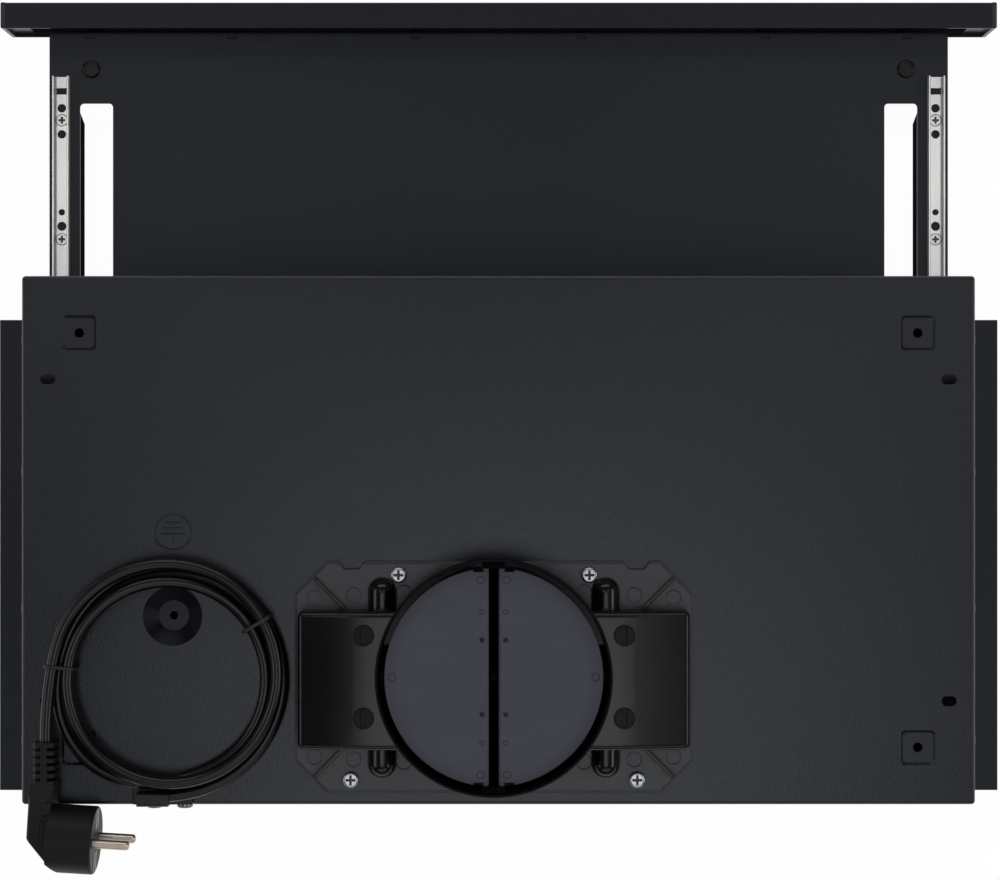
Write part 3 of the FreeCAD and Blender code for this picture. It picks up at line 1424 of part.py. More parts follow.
def plug_head():
    """The round head with its flat backbone, both cut off at a slant at the far end of the back."""
    face, half_w, spine = plug_back - plug_depth, relief_width / 2, plug_spine / 2
    high, corner = plug_axis + plug_radius, plug_axis - plug_slope[1]
    head = rod(plug_radius, Vec(face, plug_axis, 0), Vec(-0.8 * half_w, plug_axis, 0))
    head = rounded(head, plug_edge, lambda b: b.XMax < face + 0.1)
    rise = relief_length + (plug_axis - plug_radius - relief_length) * 0.75
    side = [Vec(-half_w, y, z) for y, z in (
        (relief_length, -relief_height / 2), (rise, -spine), (high, -spine), (high, spine), (rise, spine),
        (relief_length, relief_height / 2))]
    backbone = prism(side, Vec(half_w + plug_back, 0, 0))
    backbone = rounded(backbone, 2 * plug_edge, lambda b: b.YLength > plug_radius and b.ZLength < 0.1)
    outline = [Vec(x, y, -2 * plug_radius) for x, y in (
        (plug_back, relief_length), (plug_back, corner), (plug_back - plug_slope[0], high), (face, high),
        (face, relief_length))]
    whole = fuse([head, backbone]).common(prism(outline, UP * 4 * plug_radius))
    let_in = Vec(2 * contact_radius + hole_clearance, 0, 0)
    cuts = [rod(contact_radius + hole_clearance, p, p + let_in) for p in contact_places()]
    cuts += [earth_clip(way, hole_clearance) for way in (-1, 1)]
    for x, y in plug_dimples:
        spot = Vec(x, relief_length + y, spine)
        cuts.append(rod(contact_radius * 0.3, spot - UP * contact_radius * 0.4, spot + UP * plug_radius))
    groove = contact_radius * 0.1
    for x in grip_lines:
        cuts.append(slab(x - groove, x + groove, plug_axis - 0.6 * plug_radius, plug_axis + 0.1 * plug_radius,
                         spine - groove, spine + groove))
    return whole.cut(cuts)


def plug_body():
    head = plug_head()
    head.Placement = head_turn()
    body = fuse([strain_relief(), head])
    body.Placement = plug_frame()
    return body


def contact_places():
    return [Vec(plug_back - plug_depth, plug_axis, side * contact_spacing / 2) for side in (-1, 1)]


def earth_clip(side, play):
    """Earth contact let into the plug's face at right angles to the pins: a channel, or the slot for it."""
    face = plug_back - plug_depth
    reach = plug_radius - plug_edge
    inner, outer = reach - earth_clip_length - play, reach + play
    y0, y1 = sorted((plug_axis + side * inner, plug_axis + side * outer))
    half = earth_clip_width / 2 + play
    if play:
        return slab(face - 1, face + earth_clip_depth + play, y0, y1, -half, half)
    wall = earth_clip_wall
    clip = slab(face, face + earth_clip_depth, y0, y1, -half, half)
    return clip.cut(slab(face - 1, face + earth_clip_depth - wall, y0 - 1, y1 + 1, wall - half, half - wall))


def plug_contacts():
    pieces = []
    for place in contact_places():
        pin = rod(contact_radius, place + Vec(2 * contact_radius, 0, 0), place - Vec(contact_length, 0, 0))
        tip = place.x - contact_length
        pieces.append(rounded(pin, contact_radius * 0.8, lambda b: b.XMax < tip + 0.1))
    pieces += [earth_clip(side, 0) for side in (-1, 1)]
    group = Part.makeCompound(pieces)
    group.Placement = plug_frame().multiply(head_turn())
    return group


# Every node of the hood
right_hand = {
    "side_panel": side_panel(), "wing": wing(), "slide_outer": track(), "slide_inner": rail(),
    "ball_cage": ball_cage(), "bar_end_cap": bar_end_cap(), "filter_frame": filter_frame(),
    "filter_mesh": filter_mesh(), "lamp_housing": lamp_housing(), "lamp_lens": lamp_lens(),
}
round_outlet = {"flap": flap(), "blower_scroll": scroll(), "impeller": wheel()}
nodes = {
    "top_panel": top_panel(), "front_panel": front_panel(), "rear_panel": rear_panel(),
    "casing_rivets": casing_rivets(), "outlet_plate": outlet_plate(), "outlet_screws": outlet_screws(),
    "outlet_plugs": outlet_plugs(), "duct_collar": duct_collar(), "motor_can": motor_can(),
    "motor_bushes": motor_bushes(), "motor_stator": motor_stator(), "motor_bracket": motor_bracket(),
    "rotor_shaft": rotor_shaft(), "run_capacitor": run_capacitor(), "cross_rail": cross_rail(),
    "control_bezel": control_bezel(), "speed_switch": switch_body(0), "light_switch": switch_body(1),
    "speed_knob": knob(0), "light_knob": knob(1), "filter_clips": filter_clips(),
    "slide_screws": rail_screws(), "drawer_panel": drawer_panel(), "drawer_buffers": drawer_buffers(),
    "front_bar": front_bar(), "cable_clamp": cable_clamp(), "clamp_screws": clamp_screws(),
    "terminal_box": terminal_box(), "terminal_block": terminal_block(), "cord_coil": cord_coil(),
    "cord_tail": cord_tail(), "cord_ties": cord_ties(), "plug_body": plug_body(),
    "plug_contacts": plug_contacts(),
}
for name, shape in right_hand.items():
    nodes[name + "_right"] = shape
    nodes[name + "_left"] = mirrored(shape)
for name, shape in round_outlet.items():
    nodes[name + "_right"] = shape
    nodes[name + "_left"] = mirrored(shape, outlet_offset)

os.makedirs("parts", exist_ok=True)
for name, shape in nodes.items():
    shape.exportStep("parts/" + name + ".step")
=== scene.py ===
"""Looks of the slide-out range hood: finishes, mains cord and its ties, light and camera.

Metres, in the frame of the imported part: +Z up, -Y the front with the bar, +X to the right.
Sizes and places have names in capitals.
"""
import json
import math

import bmesh
import bpy
from mathutils import Matrix, Vector


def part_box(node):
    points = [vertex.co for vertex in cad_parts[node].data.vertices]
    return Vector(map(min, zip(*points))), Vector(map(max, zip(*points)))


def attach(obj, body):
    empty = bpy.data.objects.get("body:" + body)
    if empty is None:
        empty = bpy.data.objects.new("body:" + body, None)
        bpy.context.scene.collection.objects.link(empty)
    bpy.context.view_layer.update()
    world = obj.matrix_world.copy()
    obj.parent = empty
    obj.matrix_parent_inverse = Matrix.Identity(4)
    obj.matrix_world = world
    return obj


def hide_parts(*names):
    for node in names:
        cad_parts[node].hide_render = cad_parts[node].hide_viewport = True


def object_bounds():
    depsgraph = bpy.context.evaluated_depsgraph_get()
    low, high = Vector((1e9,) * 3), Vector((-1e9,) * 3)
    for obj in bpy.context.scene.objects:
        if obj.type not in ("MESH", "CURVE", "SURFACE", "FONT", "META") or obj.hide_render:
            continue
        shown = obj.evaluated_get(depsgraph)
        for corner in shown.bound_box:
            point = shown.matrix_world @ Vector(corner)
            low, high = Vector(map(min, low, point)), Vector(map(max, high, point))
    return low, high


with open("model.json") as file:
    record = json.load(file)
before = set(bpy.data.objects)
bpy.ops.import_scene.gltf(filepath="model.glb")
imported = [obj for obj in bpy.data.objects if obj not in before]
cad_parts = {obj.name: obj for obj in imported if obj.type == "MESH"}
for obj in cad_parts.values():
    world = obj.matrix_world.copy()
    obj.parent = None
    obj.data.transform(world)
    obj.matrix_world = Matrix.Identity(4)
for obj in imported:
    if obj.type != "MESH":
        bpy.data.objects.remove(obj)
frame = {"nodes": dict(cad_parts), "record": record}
cad_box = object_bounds()
slot_of = {entry["node"]: entry["material_slot"] for entry in frame["record"]["subparts"]}
MM = 0.001

# Casing and drawer
DECK_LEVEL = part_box("outlet_plate")[0][2]
CASING_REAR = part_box("top_panel")[1][1]
FLANGE_START = 1.5 * MM
# Below this level the drawer's flanges are made matt, as painted shade
DRAWER_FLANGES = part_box("slide_inner_left")[0][2] - FLANGE_START

# Outlet: flat plate, cross of its screws, collar, and small holes beside the flaps' slit; all but the plate
# get painted shade, the plate dust and painted sheen
PLATE_RIM = 4.5 * MM
PLATE_FLAT = DECK_LEVEL + PLATE_RIM
OUTLET_CROSS_DEPTH = 0.9 * MM
OUTLET_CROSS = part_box("outlet_screws")[1][2] - OUTLET_CROSS_DEPTH
COLLAR_LOW, COLLAR_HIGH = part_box("duct_collar")
COLLAR_CENTRE = ((COLLAR_LOW[0] + COLLAR_HIGH[0]) / 2, (COLLAR_LOW[1] + COLLAR_HIGH[1]) / 2)
COLLAR_WALL = 1.2 * MM
COLLAR_MARGIN = 0.2 * MM
COLLAR_INSIDE = (COLLAR_HIGH[0] - COLLAR_LOW[0]) / 2 - COLLAR_WALL + COLLAR_MARGIN
FLAP_HOLE_INSET = 3.6 * MM
FLAP_HOLE_ASIDE = 19.25 * MM
FLAP_HOLE = (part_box("flap_right")[0][0] + FLAP_HOLE_INSET - COLLAR_CENTRE[0], FLAP_HOLE_ASIDE)
FLAP_HOLE_RADIUS = 0.95 * MM

# Slides: heads of their screws, the cross in a head, and the ring round it and the fold lines, which get
# painted shade
RAIL_SCREWS_LOW, RAIL_SCREWS_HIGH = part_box("slide_screws")
RAIL_HEAD = 3.4 * MM
RAIL_SCREW_PITCH = 72.1 * MM
RAIL_AXIS = RAIL_SCREWS_HIGH[0] - RAIL_HEAD
RAIL_FIRST_SCREW = RAIL_SCREWS_LOW[1] + RAIL_HEAD
RAIL_SCREWS_Y = (RAIL_FIRST_SCREW, RAIL_FIRST_SCREW + RAIL_SCREW_PITCH)
RAIL_CROSS_DEPTH = 0.15 * MM
RAIL_CROSS = RAIL_SCREWS_HIGH[2] - RAIL_CROSS_DEPTH
RAIL_RING = (3.25 * MM, 3.75 * MM)
RAIL_GROOVE = (3.65 * MM, 4.1 * MM)

# Route of the mains cord, as in the part's source
CORD_DIAMETER = 6.5 * MM
COIL_CENTRE = (173.5 * MM, CASING_REAR - 68.2 * MM)
COIL_OUTER = 62.5 * MM
COIL_STEP_IN = 9.0 * MM
COIL_STEP_OUT = 11.6 * MM
COIL_TURNS_IN = 1.25
COIL_CLIMB = 0.5
COIL_TURNS_GROW = 0.69
COIL_TURNS_OUT = 0.975
COIL_END = COIL_TURNS_IN + COIL_CLIMB + COIL_TURNS_OUT
TIE_THICKNESS = 1.0 * MM
TIE_GAP = 0.4 * MM
TIE_WIDTH = 1.9 * MM
TIE_TURNS = (0.336, 0.734)
TIE_STRANDS = 3
STRAND_GAP = 0.5 * MM
COIL_LEVEL = DECK_LEVEL + TIE_THICKNESS + TIE_GAP + CORD_DIAMETER / 2
COIL_RISE = CORD_DIAMETER + STRAND_GAP
PLUG_ON_PANEL = 35.15 * MM

# Slack of the lower strand between two places of the coil, which only the drawn cord has
SLACK = 7.0 * MM
SLACK_FROM = 0.68
SLACK_TO = 1.06

# Points of the drawn cord, and steps along its end by which its heading and its ties are worked out
POINTS_PER_TURN = 24
TAIL_POINTS = 6
TAIL_STEPS = 40
STRAIGHT_STEPS = 4
HEADING_STEP = 1e-5

# Edges of the ties: the share of a thickness that is rounded, and which edges are sharp
ROUNDED_SHARE = 0.42
RIM_ANGLE = 1.0
SMOOTH_BELOW = math.radians(40.0)
MERGE_DISTANCE = 1e-7

# Round pressing inside the coil, placed by shares of the coil's outer radius; its inside is made matt as
# painted shade
DISH_SHIFT = (-0.022, -0.504)
DISH_CENTRE = tuple(middle + share * COIL_OUTER for middle, share in zip(COIL_CENTRE, DISH_SHIFT))
DISH_RADIUS = 15.7 * MM
DISH_FLOOR = 8.0 * MM

# Camera of the photograph: straight down, the bar at the top of the picture
CAMERA_PLACE = (-0.8 * MM, 26.3 * MM, 1.289)
CAMERA_TURN = (0.0, 0.0, math.pi)
CAMERA_LENS = 75.6
CAMERA_SENSOR = 36.0

# Floor and lamps
FLOOR_HALF = 6.0
FLOOR_GAP = 0.2 * MM
FLOOR_GLOW = 1.02
FLOOR_GLOW_SHARE = 0.95
WORLD_GLOW = 0.1
LAMP_LEVEL = 2.6
LAMP_AIM = 0.2
CASING_MIDDLE = (0.0, 0.1, 0.1)
HOOD_MIDDLE = (0.0, 0.0, 0.1)

# Sockets of the Mix node when it works on colours, and samples of an edge that looks rounded
MIX_SHARE, MIX_FIRST, MIX_SECOND, MIX_COLOUR = 0, 6, 7, 2
BEVEL_SAMPLES = 6

# Directions of rolling marks, as the stretch of their pattern
ALL_WAYS = (1.0, 1.0, 1.0)
FRONT_TO_REAR = (1.0, 0.02, 1.0)
SIDE_TO_SIDE = (0.03, 1.0, 1.0)
ROUND_MOTOR = (0.05, 1.0, 1.0)


# Shader values and nodes

class Value:
    """A shader socket that Python arithmetic can work on."""

    def __init__(self, nodes, socket):
        self.nodes = nodes
        self.socket = socket

    def math(self, operation, first, second=0.0):
        return self.nodes.node("ShaderNodeMath", {"operation": operation}, {0: first, 1: second})

    def __add__(self, other):
        return self.math("ADD", self, other)

    def __sub__(self, other):
        return self.math("SUBTRACT", self, other)

    def __rsub__(self, other):
        return self.math("SUBTRACT", other, self)

    def __mul__(self, other):
        return self.math("MULTIPLY", self, other)

    def __gt__(self, other):
        return self.math("GREATER_THAN", self, other)

    def __lt__(self, other):
        return self.math("LESS_THAN", self, other)

    def __abs__(self):
        return self.math("ABSOLUTE", self)

    __radd__ = __add__
    __rmul__ = __mul__


class Nodes:
    """The nodes of a material or of the world, under construction."""

    def __init__(self, holder):
        self.holder = holder
        self.holder.use_nodes = True
        self.tree = holder.node_tree
        self.tree.nodes.clear()

    def node(self, kind, settings=None, inputs=None, output=0):
        """Adds one node: its settings first, then the values or links of its sockets."""
        made = self.tree.nodes.new(kind)
        for key, value in (settings or {}).items():
            setattr(made, key, value)
        for key, value in (inputs or {}).items():
            if isinstance(value, Value):
                self.tree.links.new(value.socket, made.inputs[key])
            else:
                made.inputs[key].default_value = value
        return Value(self, made.outputs[output]) if made.outputs else None


class Finish(Nodes):
    """The material of a surface."""

    def __init__(self, name):
        super().__init__(bpy.data.materials.new(name))

    def here(self):
        return self.node("ShaderNodeTexCoord", output="Object")

    def place(self, stretch=ALL_WAYS, turn=0.0):
        """Object coordinates, stretched and turned about Z."""
        return self.node("ShaderNodeMapping", inputs={"Vector": self.here(), "Scale": stretch,
                                                      "Rotation": (0.0, 0.0, turn)})

    def coordinate(self, axis):
        return self.node("ShaderNodeSeparateXYZ", inputs={0: self.here()}, output=axis)

    def noise(self, scale, detail=2.0, roughness=0.5, where=None):
        return self.node("ShaderNodeTexNoise", inputs={"Vector": where or self.place(), "Scale": scale,
                                                       "Detail": detail, "Roughness": roughness})

    def spots(self, scale):
        return self.node("ShaderNodeTexVoronoi", inputs={"Vector": self.place(), "Scale": scale})

    def waves(self, scale, where):
        return self.node("ShaderNodeTexWave", {"bands_direction": "X"}, {"Vector": where, "Scale": scale})

    def between(self, share, first, second):
        """A colour between two, by a share."""
        return self.node("ShaderNodeMix", {"data_type": "RGBA"},
                         {MIX_SHARE: share, MIX_FIRST: first, MIX_SECOND: second}, output=MIX_COLOUR)

    def mottle(self, colour, share, darkest, lightest):
        """A colour that varies between two factors of itself, by a share."""
        return self.between(share, shade(colour, darkest), shade(colour, lightest))

    def relief(self, height, strength, depth, soft_edge=0.0):
        """A bump normal, on edges that look rounded by the given radius."""
        inputs = {"Height": height, "Strength": strength, "Distance": depth}
        if soft_edge:
            inputs["Normal"] = self.node("ShaderNodeBevel", {"samples": BEVEL_SAMPLES},
                                         {"Radius": soft_edge})
        return self.node("ShaderNodeBump", inputs=inputs)

    def surface(self, matt_share=None, **sockets):
        """Closes the material with a principled surface; underscores in a name stand for spaces."""
        inputs = {key.replace("_", " "): value for key, value in sockets.items()}
        shader = self.node("ShaderNodeBsdfPrincipled", inputs=inputs)
        if matt_share is not None:
            matt = self.node("ShaderNodeBsdfDiffuse", inputs={"Color": sockets["Base_Color"]})
            shader = self.node("ShaderNodeMixShader", inputs={0: matt_share, 1: shader, 2: matt})
        self.node("ShaderNodeOutputMaterial", inputs={"Surface": shader})
        return self.holder


def shade(colour, factor):
    return tuple(part * factor for part in colour[:3]) + (1.0,)


def weigh(first, second, share):
    """Two patterns in one, the second with the given share."""
    return first * (1 - share) + second * share


# Places on a piece that are darkened or dulled as painted shade

def plan_distance(finish, spot, fold_about=None):
    """Distance seen from above; folding makes the four quarters about a point alike."""
    here = finish.place(stretch=(1.0, 1.0, 0.0))
    if fold_about:
        here = finish.node("ShaderNodeVectorMath", {"operation": "SUBTRACT"},
                           {0: here, 1: (*fold_about, 0.0)})
        here = finish.node("ShaderNodeVectorMath", {"operation": "ABSOLUTE"}, {0: here})
    return finish.node("ShaderNodeVectorMath", {"operation": "DISTANCE"}, {0: here, 1: (*spot, 0.0)},
                       output="Value")


def painted_shade_below_sheet(finish):
    """One on the flanges under the drawer sheet, which are made matt as painted shade."""
    return finish.coordinate("Z") < DRAWER_FLANGES


def painted_shade_in_dish(finish):
    """Matt share that paints shade into the round pressing in the top panel: its cone most, its floor less.
    """
    floor_share, cone_extra = 0.4, 0.45
    away = plan_distance(finish, DISH_CENTRE)
    inside = away < DISH_RADIUS
    return inside * floor_share + inside * (away > DISH_FLOOR) * cone_extra


def painted_shade_in_collar(finish):
    """Matt share of the collar's inner wall, as painted shade."""
    wall_share = 0.9
    return (plan_distance(finish, COLLAR_CENTRE) < COLLAR_INSIDE) * wall_share


def flap_hole_shade(finish):
    """One in the four small holes beside the flaps' slit, painted dark as their shade."""
    return plan_distance(finish, FLAP_HOLE, fold_about=COLLAR_CENTRE) < FLAP_HOLE_RADIUS


def rail_line_shade(finish):
    """Painted shade on the fold lines of the slides and round the heads of their screws."""
    line_share = 0.7
    across = abs(finish.coordinate("X")) - RAIL_AXIS
    off = abs(across)
    lines = (off > RAIL_GROOVE[0]) * (off < RAIL_GROOVE[1])
    for screw_y in RAIL_SCREWS_Y:
        along = finish.coordinate("Y") - screw_y
        square = across * across + along * along
        lines = lines + (square > RAIL_RING[0] ** 2) * (square < RAIL_RING[1] ** 2)
    return lines * line_share


def outlet_cross_shade(finish):
    """One at the depth of the crosses in the outlet's screws, and below it, where painted shade goes."""
    return finish.coordinate("Z") < OUTLET_CROSS


def rail_cross_shade(finish):
    """One at the depth of the crosses in the slides' screws, and below it, where painted shade goes."""
    return finish.coordinate("Z") < RAIL_CROSS


# Finishes

def powder_coat(name, colour, gloss=0.4, roughness=0.29, dull=None):
    """Fine-textured black powder coat on sheet steel; dull gives the share of it that is matt, as painted
    shade.
    """
    bluish_sheen = (0.84, 0.9, 1.0, 1.0)
    grain_roughness = 0.1
    finish = Finish(name)
    clouds = finish.noise(scale=7.0, detail=3.0)
    grain = finish.noise(scale=1500.0, roughness=0.6)
    pebble = finish.noise(scale=620.0, detail=1.0)
    coat = finish.mottle(colour, weigh(clouds, grain, share=0.45), darkest=0.78, lightest=1.25)
    texture = finish.relief(weigh(grain, pebble, share=0.4), strength=0.36, depth=0.4 * MM,
                            soft_edge=0.7 * MM)
    return finish.surface(matt_share=dull(finish) if dull else None, Base_Color=coat,
                          Roughness=roughness + grain * grain_roughness, Specular_IOR_Level=gloss,
                          Specular_Tint=bluish_sheen, Normal=texture)


def moulded(name, colour, roughness=0.34, gloss=0.32, grain_depth=0.1, dull=None, dark=None):
    """Injection-moulded plastic with faint flow marks; it may have dull places and dark places of painted
    shade.
    """
    flow_roughness, grain_roughness = 0.12, 0.05
    dark_factor = 0.03
    finish = Finish(name)
    flow = finish.noise(scale=26.0, detail=4.0, roughness=0.62,
                        where=finish.place((1.0, 2.6, 1.0), turn=0.5))
    grain = finish.noise(scale=2400.0, detail=1.0)
    plastic = finish.mottle(colour, flow, darkest=0.8, lightest=1.22)
    if dark:
        plastic = finish.between(dark(finish), plastic, shade(colour, dark_factor))
    texture = finish.relief(weigh(grain, flow, share=0.65), strength=grain_depth, depth=0.4 * MM,
                            soft_edge=0.6 * MM)
    return finish.surface(matt_share=dull(finish) if dull else None, Base_Color=plastic,
                          Roughness=roughness + flow * flow_roughness + grain * grain_roughness,
                          Specular_IOR_Level=gloss, Normal=texture)


def outlet_moulding(name, colour):
    """Glossy black moulding with flow marks; its flat plate is made many times lighter than the humps,
    partly by dust and scuffs and partly as painted sheen.
    """
    thin_dust_and_sheen, thick_dust_and_sheen = 8.0, 34.0
    least_roughness, smear_roughness, scuff_roughness = 0.17, 0.06, 0.22
    finish = Finish(name)
    flat = finish.coordinate("Z") < PLATE_FLAT
    scuff = finish.noise(scale=34.0, detail=5.0, roughness=0.66,
                         where=finish.place((1.0, 1.7, 1.0), turn=0.6))
    smear = finish.noise(scale=11.0)
    grain = finish.noise(scale=2200.0, detail=1.0)
    dust_and_sheen = finish.mottle(colour, weigh(scuff, smear, share=0.35), thin_dust_and_sheen, thick_dust_and_sheen)
    clean_and_shaded = finish.mottle(colour, smear, darkest=0.8, lightest=1.2)
    roughness = least_roughness + smear * smear_roughness + flat * scuff * scuff_roughness
    texture = finish.relief(weigh(grain, scuff, share=0.7), strength=0.1, depth=0.4 * MM,
                            soft_edge=0.9 * MM)
    return finish.surface(Base_Color=finish.between(flat, clean_and_shaded, dust_and_sheen), Roughness=roughness,
                          Specular_IOR_Level=0.3, Normal=texture)


def plated(name, colour, roughness=0.24, along=FRONT_TO_REAR, soft_edge=0.3 * MM, metal=1.0, dark=None,
           dark_factor=0.06):
    """Bright metal with fine rolling marks; it may have dark places of painted shade."""
    streak_roughness, bloom_roughness = 0.05, 0.06
    finish = Finish(name)
    streak = finish.noise(scale=900.0, detail=3.0, roughness=0.6, where=finish.place(along))
    bloom = finish.noise(scale=60.0, detail=3.0)
    plating = finish.mottle(colour, bloom, darkest=0.86, lightest=1.08)
    if dark:
        plating = finish.between(dark(finish), plating, shade(colour, dark_factor))
    return finish.surface(Base_Color=plating, Metallic=metal,
                          Roughness=roughness + streak * streak_roughness + bloom * bloom_roughness,
                          Normal=finish.relief(streak, strength=0.02, depth=0.2 * MM, soft_edge=soft_edge))


def sheath(name, colour, roughness=0.3, gloss=0.4):
    """Smooth flexible plastic or rubber, as on the cord."""
    drift_roughness = 0.1
    finish = Finish(name)
    drift = finish.noise(scale=90.0, detail=3.0)
    skin = finish.noise(scale=1800.0, detail=1.0)
    return finish.surface(Base_Color=finish.mottle(colour, drift, darkest=0.75, lightest=1.3),
                          Roughness=roughness + drift * drift_roughness, Specular_IOR_Level=gloss,
                          Normal=finish.relief(skin, strength=0.06, depth=0.3 * MM))


def filter_weave(name, colour):
    """Expanded aluminium mesh: diamond openings, painted dark as the shade seen through them, between
    bright strands.
    """
    wave_scale, diamond, lean = 62.0, (1.0, 0.62, 1.0), 0.78
    strand_edge = 0.62
    opening_shade_colour, opening_metal_loss = (0.01, 0.01, 0.011, 1.0), 0.6
    least_roughness, wear_roughness = 0.3, 0.2
    finish = Finish(name)
    one, two = (finish.waves(wave_scale, finish.place(diamond, turn)) for turn in (lean, -lean))
    strand = one.math("MAXIMUM", one, two)
    opening = strand < strand_edge
    wear = finish.noise(scale=40.0, detail=3.0)
    metal = finish.mottle(colour, wear, darkest=0.8, lightest=1.05)
    return finish.surface(Base_Color=finish.between(opening, metal, opening_shade_colour),
                          Metallic=1.0 - opening * opening_metal_loss,
                          Roughness=least_roughness + wear * wear_roughness,
                          Normal=finish.relief(strand, strength=0.8, depth=1.2 * MM))


def frosted_lens(name):
    """Clouded plastic with a fine prism pattern, over the lamps."""
    yellowish, whitish = (0.82, 0.82, 0.79, 1.0), (0.92, 0.92, 0.9, 1.0)
    least_roughness, haze_roughness = 0.28, 0.2
    finish = Finish(name)
    prism = finish.spots(scale=420.0)
    haze = finish.noise(scale=30.0)
    return finish.surface(Base_Color=finish.between(haze, yellowish, whitish),
                          Roughness=least_roughness + haze * haze_roughness,
                          Transmission_Weight=0.45, IOR=1.49,
                          Normal=finish.relief(prism, strength=0.35, depth=0.6 * MM))


finishes = {
    "steel_dark": powder_coat("powder_coat_black", (0.0078, 0.0083, 0.0101), gloss=0.36),
    "rivet_steel": powder_coat("painted_rivet", (0.021, 0.022, 0.025)),
    # A very dark base keeps the humps in painted shade; the flat plate is lifted by dust and painted sheen
    "plastic_black": outlet_moulding("outlet_plastic", (0.0017, 0.0018, 0.0021)),
    # The flaps carry painted shade in four small holes beside their slit
    "plastic_flap": moulded("flap_plastic", (0.0555, 0.0570, 0.0775), roughness=0.4, gloss=0.3,
                            grain_depth=0.05, dark=flap_hole_shade),
    "plastic_knob": moulded("knob_plastic", (0.012, 0.012, 0.013), roughness=0.2),
    "plastic_grey": moulded("blower_plastic", (0.12, 0.12, 0.125), roughness=0.4),
    "terminal_white": moulded("terminal_plastic", (0.75, 0.74, 0.7), roughness=0.4),
    "capacitor_shell": moulded("capacitor_shell", (0.6, 0.6, 0.58), roughness=0.3),
    "screw_steel": plated("screw_zinc", (0.36, 0.375, 0.4), roughness=0.2, along=ALL_WAYS, metal=0.9,
                          dark=outlet_cross_shade),
    "slide_steel": plated("slide_zinc", (0.93, 0.92, 0.905), roughness=0.2, soft_edge=0.0, metal=0.5,
                          dark=rail_line_shade, dark_factor=0.08),
    "screw_dark": plated("screw_black_zinc", (0.2, 0.2, 0.21), roughness=0.2, along=ALL_WAYS, metal=0.9),
    "slide_screw_steel": plated("slide_screw_zinc", (0.9, 0.9, 0.89), roughness=0.2, along=ALL_WAYS,
                                metal=0.5, dark=rail_cross_shade),
    "motor_steel": plated("motor_steel", (0.42, 0.42, 0.43), roughness=0.36, along=ROUND_MOTOR),
    "bush_bronze": plated("bush_bronze", (0.55, 0.38, 0.2), roughness=0.35),
    "filter_aluminium": plated("filter_frame_aluminium", (0.76, 0.76, 0.77), roughness=0.3,
                               along=SIDE_TO_SIDE),
    "lamp_trim": plated("lamp_trim", (0.66, 0.66, 0.67), roughness=0.25, along=ALL_WAYS),
    "lamp_glass": frosted_lens("lamp_lens"),
    "cord_black": sheath("cord_sheath", (0.0010, 0.0011, 0.0014), roughness=0.25, gloss=0.36),
    "tie_black": sheath("tie_plastic", (0.008, 0.008, 0.009), roughness=0.35),
    "plug_black": moulded("plug_plastic", (0.0048, 0.0051, 0.0061), roughness=0.42, gloss=0.23,
                          grain_depth=0.12),
    "contact_nickel": plated("contact_nickel", (0.63, 0.54, 0.46), roughness=0.3, along=SIDE_TO_SIDE,
                             soft_edge=0.0),
    "rubber_black": sheath("buffer_rubber", (0.004, 0.004, 0.005), roughness=0.2, gloss=0.26),
}
weave = filter_weave("filter_weave", (0.72, 0.72, 0.73))
own_finish = {
    "filter_mesh_left": weave,
    "filter_mesh_right": weave,
    # The collar's inner wall is made matt as painted shade
    "duct_collar": moulded("collar_plastic", (0.0028, 0.0029, 0.0034), roughness=0.42, gloss=0.09,
                           grain_depth=0.08, dull=painted_shade_in_collar),
    "outlet_plugs": moulded("outlet_plug_plastic", (0.0036, 0.0037, 0.0042), roughness=0.3, gloss=0.16,
                            grain_depth=0.08),
    # Copies of the one powder coat: the panel's colour is set darker as painted shade, the drawer's and
    # bar's lighter as painted light
    "top_panel": powder_coat("panel_coat", (0.0056, 0.0059, 0.0071), gloss=0.5, roughness=0.25,
                             dull=painted_shade_in_dish),
    "drawer_panel": powder_coat("drawer_coat", (0.0148, 0.0156, 0.0185), gloss=0.36, dull=painted_shade_below_sheet),
    "front_bar": powder_coat("bar_coat", (0.0104, 0.0110, 0.0136), gloss=0.36),
}

for node, part in frame["nodes"].items():
    for slot in part.material_slots:
        slot.material = own_finish.get(node, finishes[slot_of[node]])


# Route of the mains cord

def coil_radius_and_level(turn):
    """Radius and height of the cord's middle line after so many turns."""
    inner = COIL_OUTER - COIL_STEP_IN * COIL_TURNS_IN
    part = turn - COIL_TURNS_IN
    if part <= 0:
        along = (turn - SLACK_FROM) / (SLACK_TO - SLACK_FROM)
        slack = SLACK * math.sin(math.pi * along) ** 2 if 0 < along < 1 else 0.0
        return COIL_OUTER - COIL_STEP_IN * turn + slack, COIL_LEVEL
    bend = (COIL_STEP_IN + COIL_STEP_OUT) / (2 * COIL_CLIMB)
    if part <= COIL_CLIMB:
        share = part / COIL_CLIMB
        return (inner - COIL_STEP_IN * part + bend * part ** 2,
                COIL_LEVEL + COIL_RISE * (3 * share ** 2 - 2 * share ** 3))
    low = inner - COIL_STEP_IN * COIL_CLIMB + bend * COIL_CLIMB ** 2
    return low + COIL_STEP_OUT * min(part - COIL_CLIMB, COIL_TURNS_GROW), COIL_LEVEL + COIL_RISE


def coil_spot(turn, swell=1.0):
    """A point of the cord's middle line on the coil."""
    radius, level = coil_radius_and_level(turn)
    angle = 2 * math.pi * turn
    return Vector((COIL_CENTRE[0] - swell * radius * math.sin(angle),
                   COIL_CENTRE[1] + swell * radius * math.cos(angle), level))


